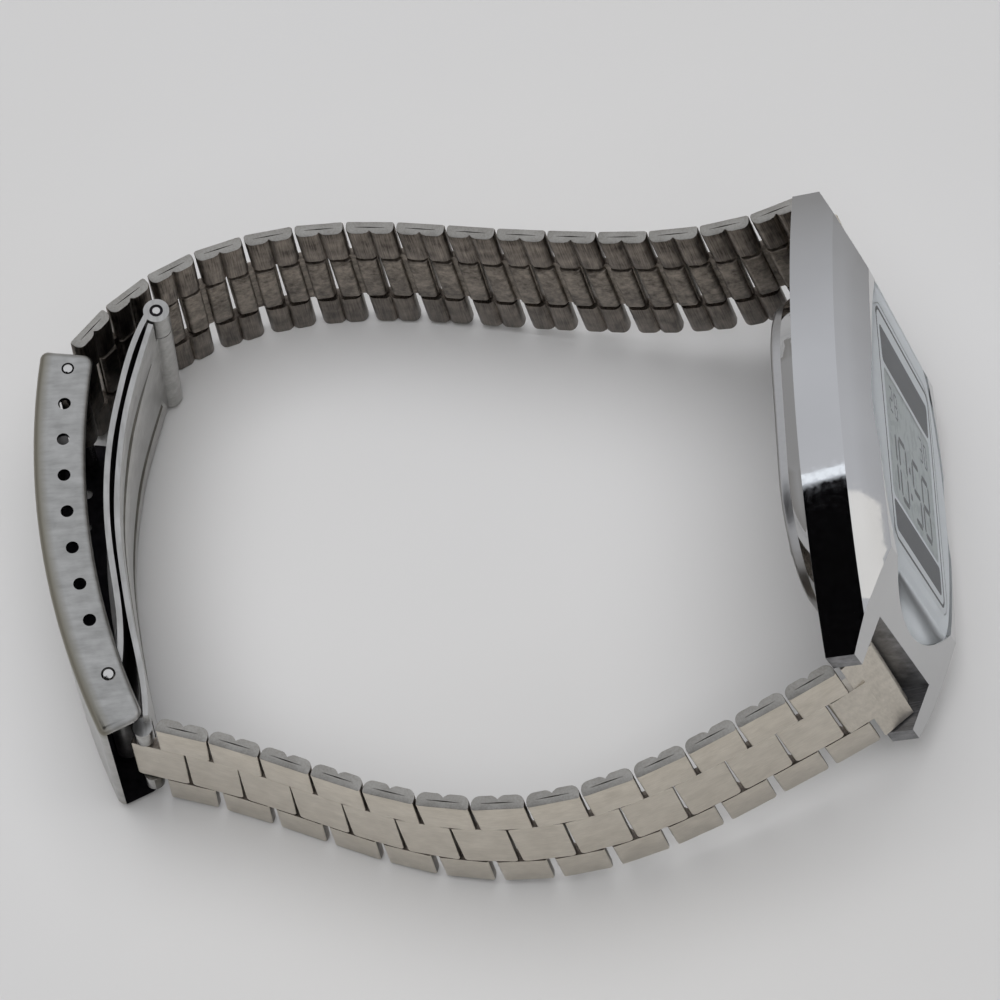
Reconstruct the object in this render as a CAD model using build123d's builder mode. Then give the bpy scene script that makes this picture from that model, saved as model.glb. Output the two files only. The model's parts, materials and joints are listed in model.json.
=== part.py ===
"""Digital wrist watch on a steel link bracelet, lying on its side with the clasp closed.

Lengths are in millimetres and +Z is up.  Each piece is built in a frame of its own and then
placed: the case by its tilt on the table, each bracelet link by the chain of pins, the clasp
by the last upper link.  The loop rests as it lies: the case leans back on its right side.
"""
import os
from math import atan, cos, degrees, hypot, radians, sin, tan

from build123d import *

os.makedirs("parts", exist_ok=True)

# Bracelet strip
pitch = 4.8
strip_width = 18.0
link_thick = 1.25
link_gap = 0.45
centre_width = 8.0
centre_gap = 0.2
row_gap = 0.12
pin_radius = 0.35
run_clearance = 0.05
pin_end_wall = 1.0
outer_corner = 0.25
inner_corner = 0.75
centre_corner = 0.35
pin_place_share = 0.25
seam_width = 0.15
seam_depth = 0.4

half_strip = strip_width / 2
half_thick = link_thick / 2
pin_place = pitch * pin_place_share
half_centre = centre_width / 2
side_width = half_strip - half_centre - row_gap
tongue_stop = pitch / 2 - centre_gap / 2

# Rest shape of the strips: bends between following links in degrees, inward positive
upper_bends = [-9.0, -7.0, -4.4, -1.9, -0.2, -0.6, 1.1, 4.2, 6.3, 7.6, 9.1, 10.8, 11.8, 10.7]
lower_bends = [0.5, 0.1, 2.8, 5.1, 7.8, 8.2, 7.8, 7.7, 3.9, 0.0, -2.4, -4.3]
upper_count = len(upper_bends) + 1
lower_count = len(lower_bends) + 1
upper_start_turn = 12.9
lower_start_turn = 23.9
upper_fan_first = 1.62
upper_fan_change = -0.136
lower_fan_first = -1.66
lower_fan_change = -0.34
upper_first_bend = 37.0
lower_first_bend = 3.0

# Case: x points out of the dial, y to twelve o'clock, z to nine o'clock (upward)
case_origin = (26.78, -3.40, 15.10)
face_direction = (0.9490, -0.0948, 0.3006)
nine_direction = (-0.3000, 0.0199, 0.9537)
strip_start_depth = 2.63
strip_start_reach = 21.05
case_centre_y = -0.6
half_width_middle = 16.5
half_width_lug = 12.0
half_length = 20.6
wall_back = 2.8
wall_front = 6.4
first_facet_rise = 1.45
first_facet_in = 1.2
second_facet_rise = 1.1
second_facet_in = 1.1
face_level = 8.9
slope_start = 12.3
slope_angle = 24.4
roof_margin = 1.0
back_bulge_margin = 1.2
back_bulge_level = 1.25
back_bulge_in = 0.7
back_bulge_corner = 10.0
notch_side_gap = 0.35
notch_half = half_strip + notch_side_gap
notch_start = 16.8

# Crystal
crystal_kink_y = 12.2
crystal_kink_z = 10.4
crystal_half_width = 14.4
crystal_half_length = 15.4
crystal_thick = 1.0
crystal_play = 0.06
crystal_bevel_rise = 0.35
crystal_bevel_in = 1.0
gasket_thick = 0.25
gasket_inset = 0.3

# Space for the movement
window_half_y = 11.0
window_half_z = 11.1
cavity_half_y = 11.5
cavity_half_z = 11.3
cavity_top = 6.1
cavity_corner = 7.5
window_corner = 2.5
module_play = 0.15
module_bottom = 1.6
module_recess = 3.6
module_wall = 0.9
module_step = 6.0
module_top = 7.45
dial_thick = 0.3
dial_top = 7.85
display_top = 4.57
display_bottom = -6.9
display_half = 8.9
display_corner = 0.7
glass_thick = 1.0
glass_margin = 1.0
glass_play = 0.05
board_thick = 0.6
board_play = 0.1
rubber_width = 1.2
battery_radius = 8.0
battery_thick = 1.4
battery_bottom = 1.5
battery_round = 0.15
clip_width = 4.0
clip_thick = 0.15
clip_length = 17.5
lamp_depth = 1.2
lamp_width = 1.6
lamp_y = 0.0
lamp_wall_gap = 1.7
lamp_z = cavity_half_z - lamp_wall_gap
buzzer_radius = 0.8
buzzer_wire = 0.25
buzzer_y = 8.4
buzzer_z = -4.8
leaf_thick = 0.15
leaf_width = 1.4
leaf_height = 1.7
leaf_wall_gap = 2.0
leaf_rubber_gap = 1.3
leaf_z = leaf_wall_gap - cavity_half_z
rubber_length = 2 * (-leaf_z - leaf_rubber_gap)

# Case back
back_plate_margin_y = 1.8
back_plate_margin_z = 2.0
back_plate_y = 2 * (cavity_half_y + back_plate_margin_y)
back_plate_z = 2 * (cavity_half_z + back_plate_margin_z)
back_bulge_y = back_plate_y + 2 * back_bulge_margin
back_bulge_z = back_plate_z + 2 * back_bulge_margin
back_plate_corner = 8.6
back_plate_thick = 1.0
back_plate_round = 0.3
back_ring_depth = 0.5
back_ring_inset = 0.15
back_ring_width = 0.4
screw_radius = 0.45
screw_head_radius = 0.85
screw_head_depth = 0.4
screw_length = 2.2
screw_wall_y = 1.4
screw_wall_z = 1.2
screw_y = cavity_half_y - screw_wall_y
screw_z = cavity_half_z - screw_wall_z
screw_slot_width = 0.25
screw_slot_depth = 0.15

# Push buttons on the side that faces the table
button_y = [6.0, -6.0]
button_depth = 4.6
button_radius = 1.1
button_shaft_radius = 0.6
button_face = 16.3
button_head_length = 0.9
button_travel = 0.5
button_inner_gap = 1.3
button_inner_end = cavity_half_z - button_inner_gap
clip_ring_radius = 1.0
clip_ring_thick = 0.25

# End links and spring bars
plate_back = -3.3
plate_back_rise = 0.15
plate_front_rise = 0.6
plate_thick = 0.95
tongue_corner = 0.45
bar_along = -2.59
bar_drop = 1.48
bar_tube_radius = 0.95
bar_radius = 0.5
bar_tip_radius = 0.4
bar_tip_length = 1.1
lug_hole_depth = 1.3

# Clasp, laid out along a circle through the adjustment holes
clasp_radius = 63.5
clasp_turn = 34.7
clasp_eye = (1.98, 1.21)
hole_pitch = 3.4
hole_count = 8
hole_radius = 0.55
cover_sheet = 0.5
cover_side_gap = 0.2
cover_half_width = half_strip + cover_side_gap + cover_sheet
cover_outer = 2.6
cover_start = -1.65
cover_end = 33.6
flange_edge_start = 2.1
flange_edge_end = 1.35
cover_edge_round = 0.7
cover_corner = 1.0
corner_share = 0.29
blade_side_gap = 0.7
blade_half_width = cover_half_width - cover_sheet - blade_side_gap
blade_sheet = 0.5
first_hinge = 28.9
fold_hinge = (-7.6, 6.5)
hinge_pin_radius = 0.6
barrel_radius = 1.15
end_knuckle_radius = 0.85
end_knuckle_length = 2.5
fold_knuckle_length = 3.1
knuckle_gap = 0.1
trim_gap = 0.25
end_gap = 0.45
end_trim_gap = 0.55
blade_a_line = [(-6.9, 5.75), (-3.2, 5.06), (1.6, 4.5), (6.3, 3.9), (10.3, 3.5), (14.3, 3.2),
                (18.2, 3.0), (23.0, 2.6), (26.5, 1.75), (28.7, 0.8)]
blade_b_line = [(-7.0, 6.35), (-2.2, 5.9), (3.2, 5.2), (8.35, 4.65), (14.4, 4.05),
                (20.3, 3.65), (25.0, 3.2), (29.5, 2.6), (33.2, 1.45)]
eye_radius = 1.3
clasp_bar_radius = 0.75


def turned(x_step, y_step, bend):
    """A step in the plane of a link followed by a turn about its pin axis."""
    return Location((x_step, y_step, 0), (0, 0, bend))


def axis_of(place):
    """Direction of the place's local z axis."""
    return Plane(place).z_dir


case_place = Location(Plane(origin=case_origin, x_dir=face_direction, z_dir=nine_direction))


def strip_places(start, bends, fan_first, fan_change, count):
    """Frames of the links: x toward the clasp, y outward, z along the pins."""
    places = [start * Location((0, 0, 0), (0, fan_first, 0))]
    for index, bend in enumerate(bends):
        fan = fan_first + fan_change * (index + 1) / count
        here = places[-1] * Location((pitch, 0, 0)) * Location((0, 0, 0), (0, fan, -bend))
        places.append(here)
    return places


upper_start = case_place * Location((strip_start_depth, strip_start_reach, 0))
upper_start = upper_start * Location((0, 0, 0), (0, 0, 180 + upper_start_turn))
upper_start = upper_start * Location((0, 0, 0), (180, 0, 0))
lower_start = case_place * Location((strip_start_depth, -strip_start_reach, 0))
lower_start = lower_start * Location((0, 0, 0), (0, 0, 180 + lower_start_turn))
upper_places = strip_places(upper_start, upper_bends, upper_fan_first, upper_fan_change, upper_count)
lower_places = strip_places(lower_start, lower_bends, lower_fan_first, lower_fan_change, lower_count)

# Frame of the clasp: x along the cover from its first hole, y inward, z up
upper_end = upper_places[-1] * Location((pitch, 0, 0)) * Location((0, 0, 0), (180, 0, 0))
clasp_place = upper_end * turned(clasp_eye[0], clasp_eye[1], clasp_turn)
last_pin = lower_places[-1] * Location((pitch + pin_place, 0, 0))
last_pin_local = (clasp_place.inverse() * last_pin).position
shift_z = last_pin_local.Z


def arc_point(along, inward):
    """Point of the clasp's plane at a length along the hole circle and an inward offset."""
    angle = along / clasp_radius
    reach = clasp_radius - inward
    return (reach * sin(angle), clasp_radius - reach * cos(angle))


# Bracelet links
def pin_location(place, along):
    """Frame of a pin at a distance along the link."""
    return place * Location((along, 0, 0))


with BuildPart() as side_pair:
    with BuildSketch(Plane.XY.offset(half_centre + row_gap)):
        with Locations((pitch / 2, 0)):
            Rectangle(pitch - link_gap, link_thick)
    extrude(amount=side_width)
    outer_edges = side_pair.edges().filter_by(Axis.Z).group_by(Axis.Y)[-1]
    fillet(outer_edges, outer_corner)
    inner_edges = side_pair.edges().filter_by(Axis.Z).group_by(Axis.Y)[0]
    fillet(inner_edges, inner_corner)
    with Locations((pitch / 2, -half_thick + seam_depth / 2, half_strip - side_width / 2)):
        Box(seam_width, seam_depth, side_width, mode=Mode.SUBTRACT)
    mirror(about=Plane.XY)
    with Locations((pin_place, 0, 0), (pitch - pin_place, 0, 0)):
        Cylinder(pin_radius, strip_width - 2 * pin_end_wall)

with BuildPart() as centre_blank:
    Box(pitch - centre_gap, link_thick, centre_width)
    blank_outer = centre_blank.edges().filter_by(Axis.Z).group_by(Axis.Y)[-1]
    fillet(blank_outer, centre_corner)
    blank_inner = centre_blank.edges().filter_by(Axis.Z).group_by(Axis.Y)[0]
    fillet(blank_inner, inner_corner)


def centre_place(first_pin, next_pin):
    """Frame midway between two pins, x from the first pin to the next."""
    start = first_pin.position
    stop = next_pin.position
    middle = (start + stop) * 0.5
    along = (stop - start).normalized()
    across = (axis_of(first_pin) + axis_of(next_pin)).normalized()
    return Location(Plane(origin=middle, x_dir=along, z_dir=across))


def link_part(place, next_pin):
    """One link: two side pieces on two pins, and the centre piece reaching to the next pin."""
    first_pin = pin_location(place, pitch - pin_place)
    with BuildPart() as link:
        with Locations(centre_place(first_pin, next_pin)):
            add(centre_blank.part)
        with Locations(first_pin, next_pin):
            Cylinder(pin_radius + run_clearance, centre_width + row_gap, mode=Mode.SUBTRACT)
        with Locations(place):
            add(side_pair.part)
    return link.part


upper_links = []
for index in range(upper_count - 1):
    joint_pin = pin_location(upper_places[index + 1], pin_place)
    upper_links.append(link_part(upper_places[index], joint_pin))

lower_links = []
for index in range(lower_count - 1):
    joint_pin = pin_location(lower_places[index + 1], pin_place)
    lower_links.append(link_part(lower_places[index], joint_pin))

# The last upper link reaches the spring bar of the clasp with an eye
eye_pin = clasp_place * Location((0, 0, 0), (180, 0, 0))
last_upper_pin = pin_location(upper_places[-1], pitch - pin_place)
eye_link_place = centre_place(last_upper_pin, eye_pin)
eye_reach = (eye_pin.position - last_upper_pin.position).length
with BuildPart() as last_upper:
    with Locations(eye_link_place):
        Box(eye_reach + link_thick, link_thick, centre_width)
    with Locations(eye_pin):
        Cylinder(eye_radius, centre_width)
    with Locations(last_upper_pin):
        Cylinder(pin_radius + run_clearance, centre_width + row_gap, mode=Mode.SUBTRACT)
    with Locations(eye_pin):
        Cylinder(clasp_bar_radius + run_clearance, centre_width + row_gap, mode=Mode.SUBTRACT)
    with Locations(upper_places[-1]):
        add(side_pair.part)
upper_links.append(last_upper.part)

# The last lower link holds the pin of the clasp's inner blade
end_pin_hole = pin_radius
with BuildPart() as last_lower:
    with Locations(centre_place(pin_location(lower_places[-1], pitch - pin_place), last_pin)):
        add(centre_blank.part)
    with Locations(pin_location(lower_places[-1], pitch - pin_place)):
        Cylinder(pin_radius + run_clearance, centre_width + row_gap, mode=Mode.SUBTRACT)
    with Locations(last_pin):
        Cylinder(end_pin_hole, centre_width + row_gap, mode=Mode.SUBTRACT)
    with Locations(lower_places[-1]):
        add(side_pair.part)
lower_links.append(last_lower.part)

with BuildPart() as end_pin:
    with Locations(last_pin):
        Cylinder(end_pin_hole, centre_width)

# End links
with BuildPart() as end_link:
    with BuildSketch() as plate_side:
        Polygon(
            (plate_back, plate_back_rise),
            (-link_gap / 2, plate_front_rise),
            (-link_gap / 2, plate_front_rise - plate_thick),
            (plate_back, plate_back_rise - plate_thick),
            align=None,
        )
        with Locations((bar_along, -bar_drop)):
            Circle(bar_tube_radius)
        with Locations((bar_along, -bar_drop / 2)):
            Rectangle(bar_tube_radius, bar_drop)
    extrude(amount=half_strip, both=True)
    with BuildSketch() as tongue_side:
        with Locations(((tongue_stop + bar_along / 2) / 2, 0)):
            Rectangle(tongue_stop - bar_along / 2, link_thick)
    extrude(amount=half_centre, both=True)
    tongue_end = end_link.edges().filter_by(Axis.Z).group_by(Axis.X)[-1]
    fillet(tongue_end, tongue_corner)
    with Locations((bar_along, -bar_drop, 0)):
        Cylinder(bar_radius + run_clearance, strip_width, mode=Mode.SUBTRACT)
    with Locations((pin_place, 0, 0)):
        Cylinder(pin_radius + run_clearance, strip_width, mode=Mode.SUBTRACT)


def end_link_place(first_place, bend):
    """The end link shares the first link's first pin and is turned outward by the bend."""
    return first_place * turned(pin_place, 0, bend) * Location((-pin_place, 0, 0))


upper_end_place = end_link_place(upper_places[0], upper_first_bend)
lower_end_place = end_link_place(lower_places[0], lower_first_bend)


# Case
def level(depth):
    """Plane across the case at a depth, seen from the dial side, centred on the case."""
    return Plane(origin=(depth, case_centre_y, 0), x_dir=(0, 1, 0), z_dir=(1, 0, 0))


def level_back(depth):
    """The same plane facing the wrist."""
    return Plane(origin=(depth, case_centre_y, 0), x_dir=(0, 1, 0), z_dir=(-1, 0, 0))


with BuildSketch() as wall_outline:
    with BuildLine():
        left_arc = ThreePointArc(
            (-half_length, half_width_lug), (0, half_width_middle), (half_length, half_width_lug)
        )
        right_arc = ThreePointArc(
            (half_length, -half_width_lug), (0, -half_width_middle), (-half_length, -half_width_lug)
        )
        Line(left_arc @ 1, right_arc @ 0)
        Line(right_arc @ 1, left_arc @ 0)
    make_face()

with BuildSketch() as crystal_outline:
    with BuildLine():
        upper_side = ThreePointArc(
            (-crystal_kink_y, crystal_kink_z), (0, crystal_half_width), (crystal_kink_y, crystal_kink_z)
        )
        far_end = ThreePointArc(
            (crystal_kink_y, crystal_kink_z), (crystal_half_length, 0), (crystal_kink_y, -crystal_kink_z)
        )
        lower_side = ThreePointArc(
            (crystal_kink_y, -crystal_kink_z), (0, -crystal_half_width), (-crystal_kink_y, -crystal_kink_z)
        )
        ThreePointArc(lower_side @ 1, (-crystal_half_length, 0), upper_side @ 0)
    make_face()

roof_reach = half_length + roof_margin
roof_drop = (roof_reach - slope_start) * tan(radians(slope_angle))


def roof_line(top):
    """The flat middle and the two sloped ends of the front, at a height of the flat."""
    return [
        (top - roof_drop, -roof_reach),
        (top, -slope_start),
        (top, slope_start),
        (top - roof_drop, roof_reach),
    ]


roof_points = [(0, -roof_reach)] + roof_line(face_level) + [(0, roof_reach)]
crystal_bottom = face_level - crystal_thick
pocket_floor = crystal_bottom - gasket_thick
crystal_side = roof_line(face_level) + list(reversed(roof_line(crystal_bottom)))
gasket_side = roof_line(crystal_bottom) + list(reversed(roof_line(pocket_floor)))
seat_side = roof_line(face_level + gasket_thick) + list(reversed(roof_line(pocket_floor)))
side_plane = Plane(origin=(0, case_centre_y, 0))
facet_level = wall_front + first_facet_rise
first_taper = degrees(atan(first_facet_in / first_facet_rise))
second_taper = degrees(atan(second_facet_in / second_facet_rise))
bulge_taper = degrees(atan(back_bulge_in / (wall_back - back_bulge_level)))
bar_upper = upper_end_place * Location((bar_along, -bar_drop, 0))
bar_lower = lower_end_place * Location((bar_along, -bar_drop, 0))
button_places = [Location((button_depth, case_centre_y + y, 0)) for y in button_y]
recess_floor = button_face - button_head_length - button_travel - run_clearance
screw_spots = [(y, z) for y in (-screw_y, screw_y) for z in (-screw_z, screw_z)]

with BuildPart() as crystal_seat:
    with BuildSketch(level(0)):
        add(crystal_outline.sketch)
        offset(amount=crystal_play)
    extrude(amount=face_level + gasket_thick)
    with BuildSketch(side_plane):
        Polygon(*seat_side, align=None)
    extrude(amount=half_width_middle, both=True, mode=Mode.INTERSECT)

with BuildPart() as case_body:
    with BuildSketch(level(wall_back)):
        add(wall_outline.sketch)
    extrude(amount=wall_front - wall_back)
    with BuildSketch(level(wall_front)):
        add(wall_outline.sketch)
    extrude(amount=first_facet_rise, taper=first_taper)
    with BuildSketch(level(facet_level)):
        add(wall_outline.sketch)
        offset(amount=-first_facet_in, kind=Kind.INTERSECTION)
    extrude(amount=second_facet_rise, taper=second_taper)
    with BuildSketch(side_plane):
        Polygon(*roof_points, align=None)
    extrude(amount=half_width_middle, both=True, mode=Mode.INTERSECT)
    with BuildSketch(level_back(wall_back)):
        RectangleRounded(back_bulge_y, back_bulge_z, back_bulge_corner)
    extrude(amount=wall_back - back_bulge_level, taper=bulge_taper)
    for side in (-1, 1):
        with BuildSketch(Plane(origin=(0, case_centre_y + side * (notch_start + half_length), 0))):
            Rectangle(face_level * 3, half_length * 2)
        extrude(amount=notch_half, both=True, mode=Mode.SUBTRACT)
    add(crystal_seat.part, mode=Mode.SUBTRACT)
    with BuildSketch(level(back_bulge_level)):
        RectangleRounded(2 * cavity_half_y, 2 * cavity_half_z, cavity_corner)
    extrude(amount=cavity_top - back_bulge_level, mode=Mode.SUBTRACT)
    with BuildSketch(level(cavity_top)):
        RectangleRounded(2 * window_half_y, 2 * window_half_z, window_corner)
    extrude(amount=pocket_floor - cavity_top, mode=Mode.SUBTRACT)
    with BuildSketch(level(back_bulge_level)):
        ring_inner = 2 * back_ring_inset
        ring_outer = 2 * (back_ring_inset + back_ring_width)
        RectangleRounded(
            2 * cavity_half_y + ring_outer, 2 * cavity_half_z + ring_outer,
            cavity_corner + back_ring_inset + back_ring_width,
        )
        RectangleRounded(
            2 * cavity_half_y + ring_inner, 2 * cavity_half_z + ring_inner,
            cavity_corner + back_ring_inset, mode=Mode.SUBTRACT,
        )
    extrude(amount=back_ring_depth, mode=Mode.SUBTRACT)
    with BuildSketch(level(back_bulge_level)):
        with Locations(*screw_spots):
            Circle(screw_radius)
    extrude(amount=screw_length - back_plate_thick, mode=Mode.SUBTRACT)
    with Locations(case_place.inverse() * bar_upper, case_place.inverse() * bar_lower):
        Cylinder(bar_tip_radius, 2 * (notch_half + lug_hole_depth), mode=Mode.SUBTRACT)
    for place in button_places:
        with Locations(place * Location((0, 0, -half_width_middle / 2))):
            Cylinder(button_shaft_radius + run_clearance, half_width_middle, mode=Mode.SUBTRACT)
        with Locations(place * Location((0, 0, -recess_floor - half_width_middle / 2))):
            Cylinder(button_radius + run_clearance, half_width_middle, mode=Mode.SUBTRACT)

with BuildPart() as crystal:
    with BuildSketch(level(0)):
        add(crystal_outline.sketch)
    extrude(amount=face_level - crystal_bevel_rise)
    with BuildSketch(level(face_level - crystal_bevel_rise)):
        add(crystal_outline.sketch)
    extrude(amount=crystal_bevel_rise, taper=degrees(atan(crystal_bevel_in / crystal_bevel_rise)))
    with BuildSketch(side_plane):
        Polygon(*crystal_side, align=None)
    extrude(amount=half_width_middle, both=True, mode=Mode.INTERSECT)

with BuildPart() as crystal_gasket:
    with BuildSketch(level(0)):
        add(crystal_outline.sketch)
        offset(amount=-gasket_inset)
        RectangleRounded(2 * window_half_y, 2 * window_half_z, window_corner, mode=Mode.SUBTRACT)
    extrude(amount=face_level)
    with BuildSketch(side_plane):
        Polygon(*gasket_side, align=None)
    extrude(amount=half_width_middle, both=True, mode=Mode.INTERSECT)

# Movement
display_centre_y = (display_top + display_bottom) / 2 - case_centre_y
display_height = display_top - display_bottom
glass_height = display_height + 2 * glass_margin
glass_width = 2 * (display_half + glass_margin)
glass_bottom = module_top - glass_play - glass_thick

with BuildPart() as dial_plate:
    with BuildSketch(level(dial_top - dial_thick)):
        RectangleRounded(
            2 * (window_half_y - module_play), 2 * (window_half_z - module_play), window_corner
        )
        with Locations((display_centre_y, 0)):
            RectangleRounded(display_height, 2 * display_half, display_corner, mode=Mode.SUBTRACT)
    extrude(amount=dial_thick)

with BuildPart() as display_glass:
    with BuildSketch(level(glass_bottom)):
        with Locations((display_centre_y, 0)):
            Rectangle(glass_height, glass_width)
    extrude(amount=glass_thick)

rubber_offset = glass_height / 2 - rubber_width / 2 - glass_play
rubber_spots = [(display_centre_y - rubber_offset, 0), (display_centre_y + rubber_offset, 0)]
recess_y = 2 * (cavity_half_y - module_play - module_wall)
recess_z = 2 * (cavity_half_z - module_play - module_wall)
recess_corner = cavity_corner - module_play - module_wall

with BuildPart() as module_frame:
    with BuildSketch(level(module_bottom)):
        RectangleRounded(
            2 * (cavity_half_y - module_play), 2 * (cavity_half_z - module_play),
            cavity_corner - module_play,
        )
    extrude(amount=module_step - module_bottom)
    with BuildSketch(level(module_step)):
        RectangleRounded(
            2 * (window_half_y - module_play), 2 * (window_half_z - module_play), cavity_corner
        )
    extrude(amount=module_top - module_step)
    with BuildSketch(level(module_bottom)):
        RectangleRounded(recess_y, recess_z, recess_corner)
    extrude(amount=module_recess - module_bottom, mode=Mode.SUBTRACT)
    with BuildSketch(level(glass_bottom)):
        with Locations((display_centre_y, 0)):
            Rectangle(glass_height + 2 * glass_play, glass_width + 2 * glass_play)
    extrude(amount=glass_thick + glass_play, mode=Mode.SUBTRACT)
    with BuildSketch(level(module_recess)):
        with Locations(*rubber_spots):
            Rectangle(rubber_width + 2 * glass_play, rubber_length + 2 * glass_play)
        with Locations((lamp_y, lamp_z)):
            Rectangle(lamp_width + 2 * glass_play, lamp_depth + 2 * glass_play)
    extrude(amount=glass_bottom - module_recess, mode=Mode.SUBTRACT)
    for place in button_places:
        pocket_length = cavity_half_z + leaf_z + 2 * leaf_thick
        pocket_middle = (cavity_half_z - leaf_z - 2 * leaf_thick) / 2
        with Locations(place * Location((0, 0, -pocket_middle))):
            Cylinder(clip_ring_radius + module_play, pocket_length, mode=Mode.SUBTRACT)
        with Locations(place * Location((module_recess - button_depth, 0, leaf_z))):
            Box(
                2 * leaf_height, leaf_width + 2 * glass_play, 4 * leaf_thick,
                mode=Mode.SUBTRACT,
            )

with BuildPart() as circuit_board:
    with BuildSketch(level(module_recess - board_thick)):
        RectangleRounded(recess_y - 2 * board_play, recess_z - 2 * board_play, recess_corner)
    extrude(amount=board_thick)

with BuildPart() as side_contacts:
    for place in button_places:
        with Locations(place * Location((module_recess - button_depth + leaf_height / 2, 0, leaf_z))):
            Box(leaf_height, leaf_width, leaf_thick)

with BuildPart() as connector_strips:
    with BuildSketch(level(module_recess)):
        with Locations(*rubber_spots):
            Rectangle(rubber_width, rubber_length)
    extrude(amount=glass_bottom - module_recess)

with BuildPart() as lamp:
    with BuildSketch(level(module_recess)):
        with Locations((lamp_y, lamp_z)):
            Rectangle(lamp_width, lamp_depth)
    extrude(amount=lamp_depth)

with BuildPart() as battery:
    with BuildSketch(level(battery_bottom)):
        Circle(battery_radius)
    extrude(amount=battery_thick)
    fillet(battery.edges().filter_by(GeomType.CIRCLE).group_by(Axis.X)[0], battery_round)

with BuildPart() as battery_clip:
    with BuildSketch(level(battery_bottom - clip_thick)):
        Rectangle(clip_length, clip_width)
    extrude(amount=clip_thick)

with BuildPart() as buzzer_contact:
    with BuildSketch(level(back_bulge_level)):
        with Locations((buzzer_y, buzzer_z)):
            Circle(buzzer_radius)
            Circle(buzzer_radius - buzzer_wire, mode=Mode.SUBTRACT)
    extrude(amount=module_recess - board_thick - back_bulge_level)

# Case back and its seal
with BuildPart() as back_gasket:
    with BuildSketch(level(back_bulge_level)):
        RectangleRounded(
            2 * cavity_half_y + ring_outer, 2 * cavity_half_z + ring_outer,
            cavity_corner + back_ring_inset + back_ring_width,
        )
        RectangleRounded(
            2 * cavity_half_y + ring_inner, 2 * cavity_half_z + ring_inner,
            cavity_corner + back_ring_inset, mode=Mode.SUBTRACT,
        )
    extrude(amount=back_ring_depth)

plate_bottom = back_bulge_level - back_plate_thick
with BuildPart() as case_back:
    with BuildSketch(level(plate_bottom)):
        RectangleRounded(back_plate_y, back_plate_z, back_plate_corner)
    extrude(amount=back_plate_thick)
    fillet(case_back.edges().group_by(Axis.X)[0], back_plate_round)
    with BuildSketch(level(plate_bottom)):
        with Locations(*screw_spots):
            Circle(screw_head_radius)
    extrude(amount=screw_head_depth, mode=Mode.SUBTRACT)
    with BuildSketch(level(plate_bottom)):
        with Locations(*screw_spots):
            Circle(screw_radius)
    extrude(amount=back_plate_thick, mode=Mode.SUBTRACT)

with BuildPart() as back_screws:
    with BuildSketch(level(plate_bottom)):
        with Locations(*screw_spots):
            Circle(screw_head_radius)
    extrude(amount=screw_head_depth)
    with BuildSketch(level(plate_bottom)):
        with Locations(*screw_spots):
            Circle(screw_radius)
    extrude(amount=screw_length)
    with BuildSketch(level(plate_bottom)):
        with Locations(*screw_spots):
            Rectangle(2 * screw_head_radius, screw_slot_width)
    extrude(amount=screw_slot_depth, mode=Mode.SUBTRACT)

# Push buttons and spring bars of the lugs
with BuildPart() as button:
    with Locations((0, 0, -button_face + button_head_length / 2)):
        Cylinder(button_radius, button_head_length)
    shaft_start = button_face - button_head_length
    with Locations((0, 0, -(shaft_start + button_inner_end) / 2)):
        Cylinder(button_shaft_radius, shaft_start - button_inner_end)
    with Locations((0, 0, -button_inner_end - clip_ring_thick)):
        Cylinder(clip_ring_radius, clip_ring_thick)

with BuildPart() as lug_bar:
    Cylinder(bar_radius, 2 * (notch_half - run_clearance))
    Cylinder(bar_tip_radius, 2 * (notch_half + bar_tip_length))

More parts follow.
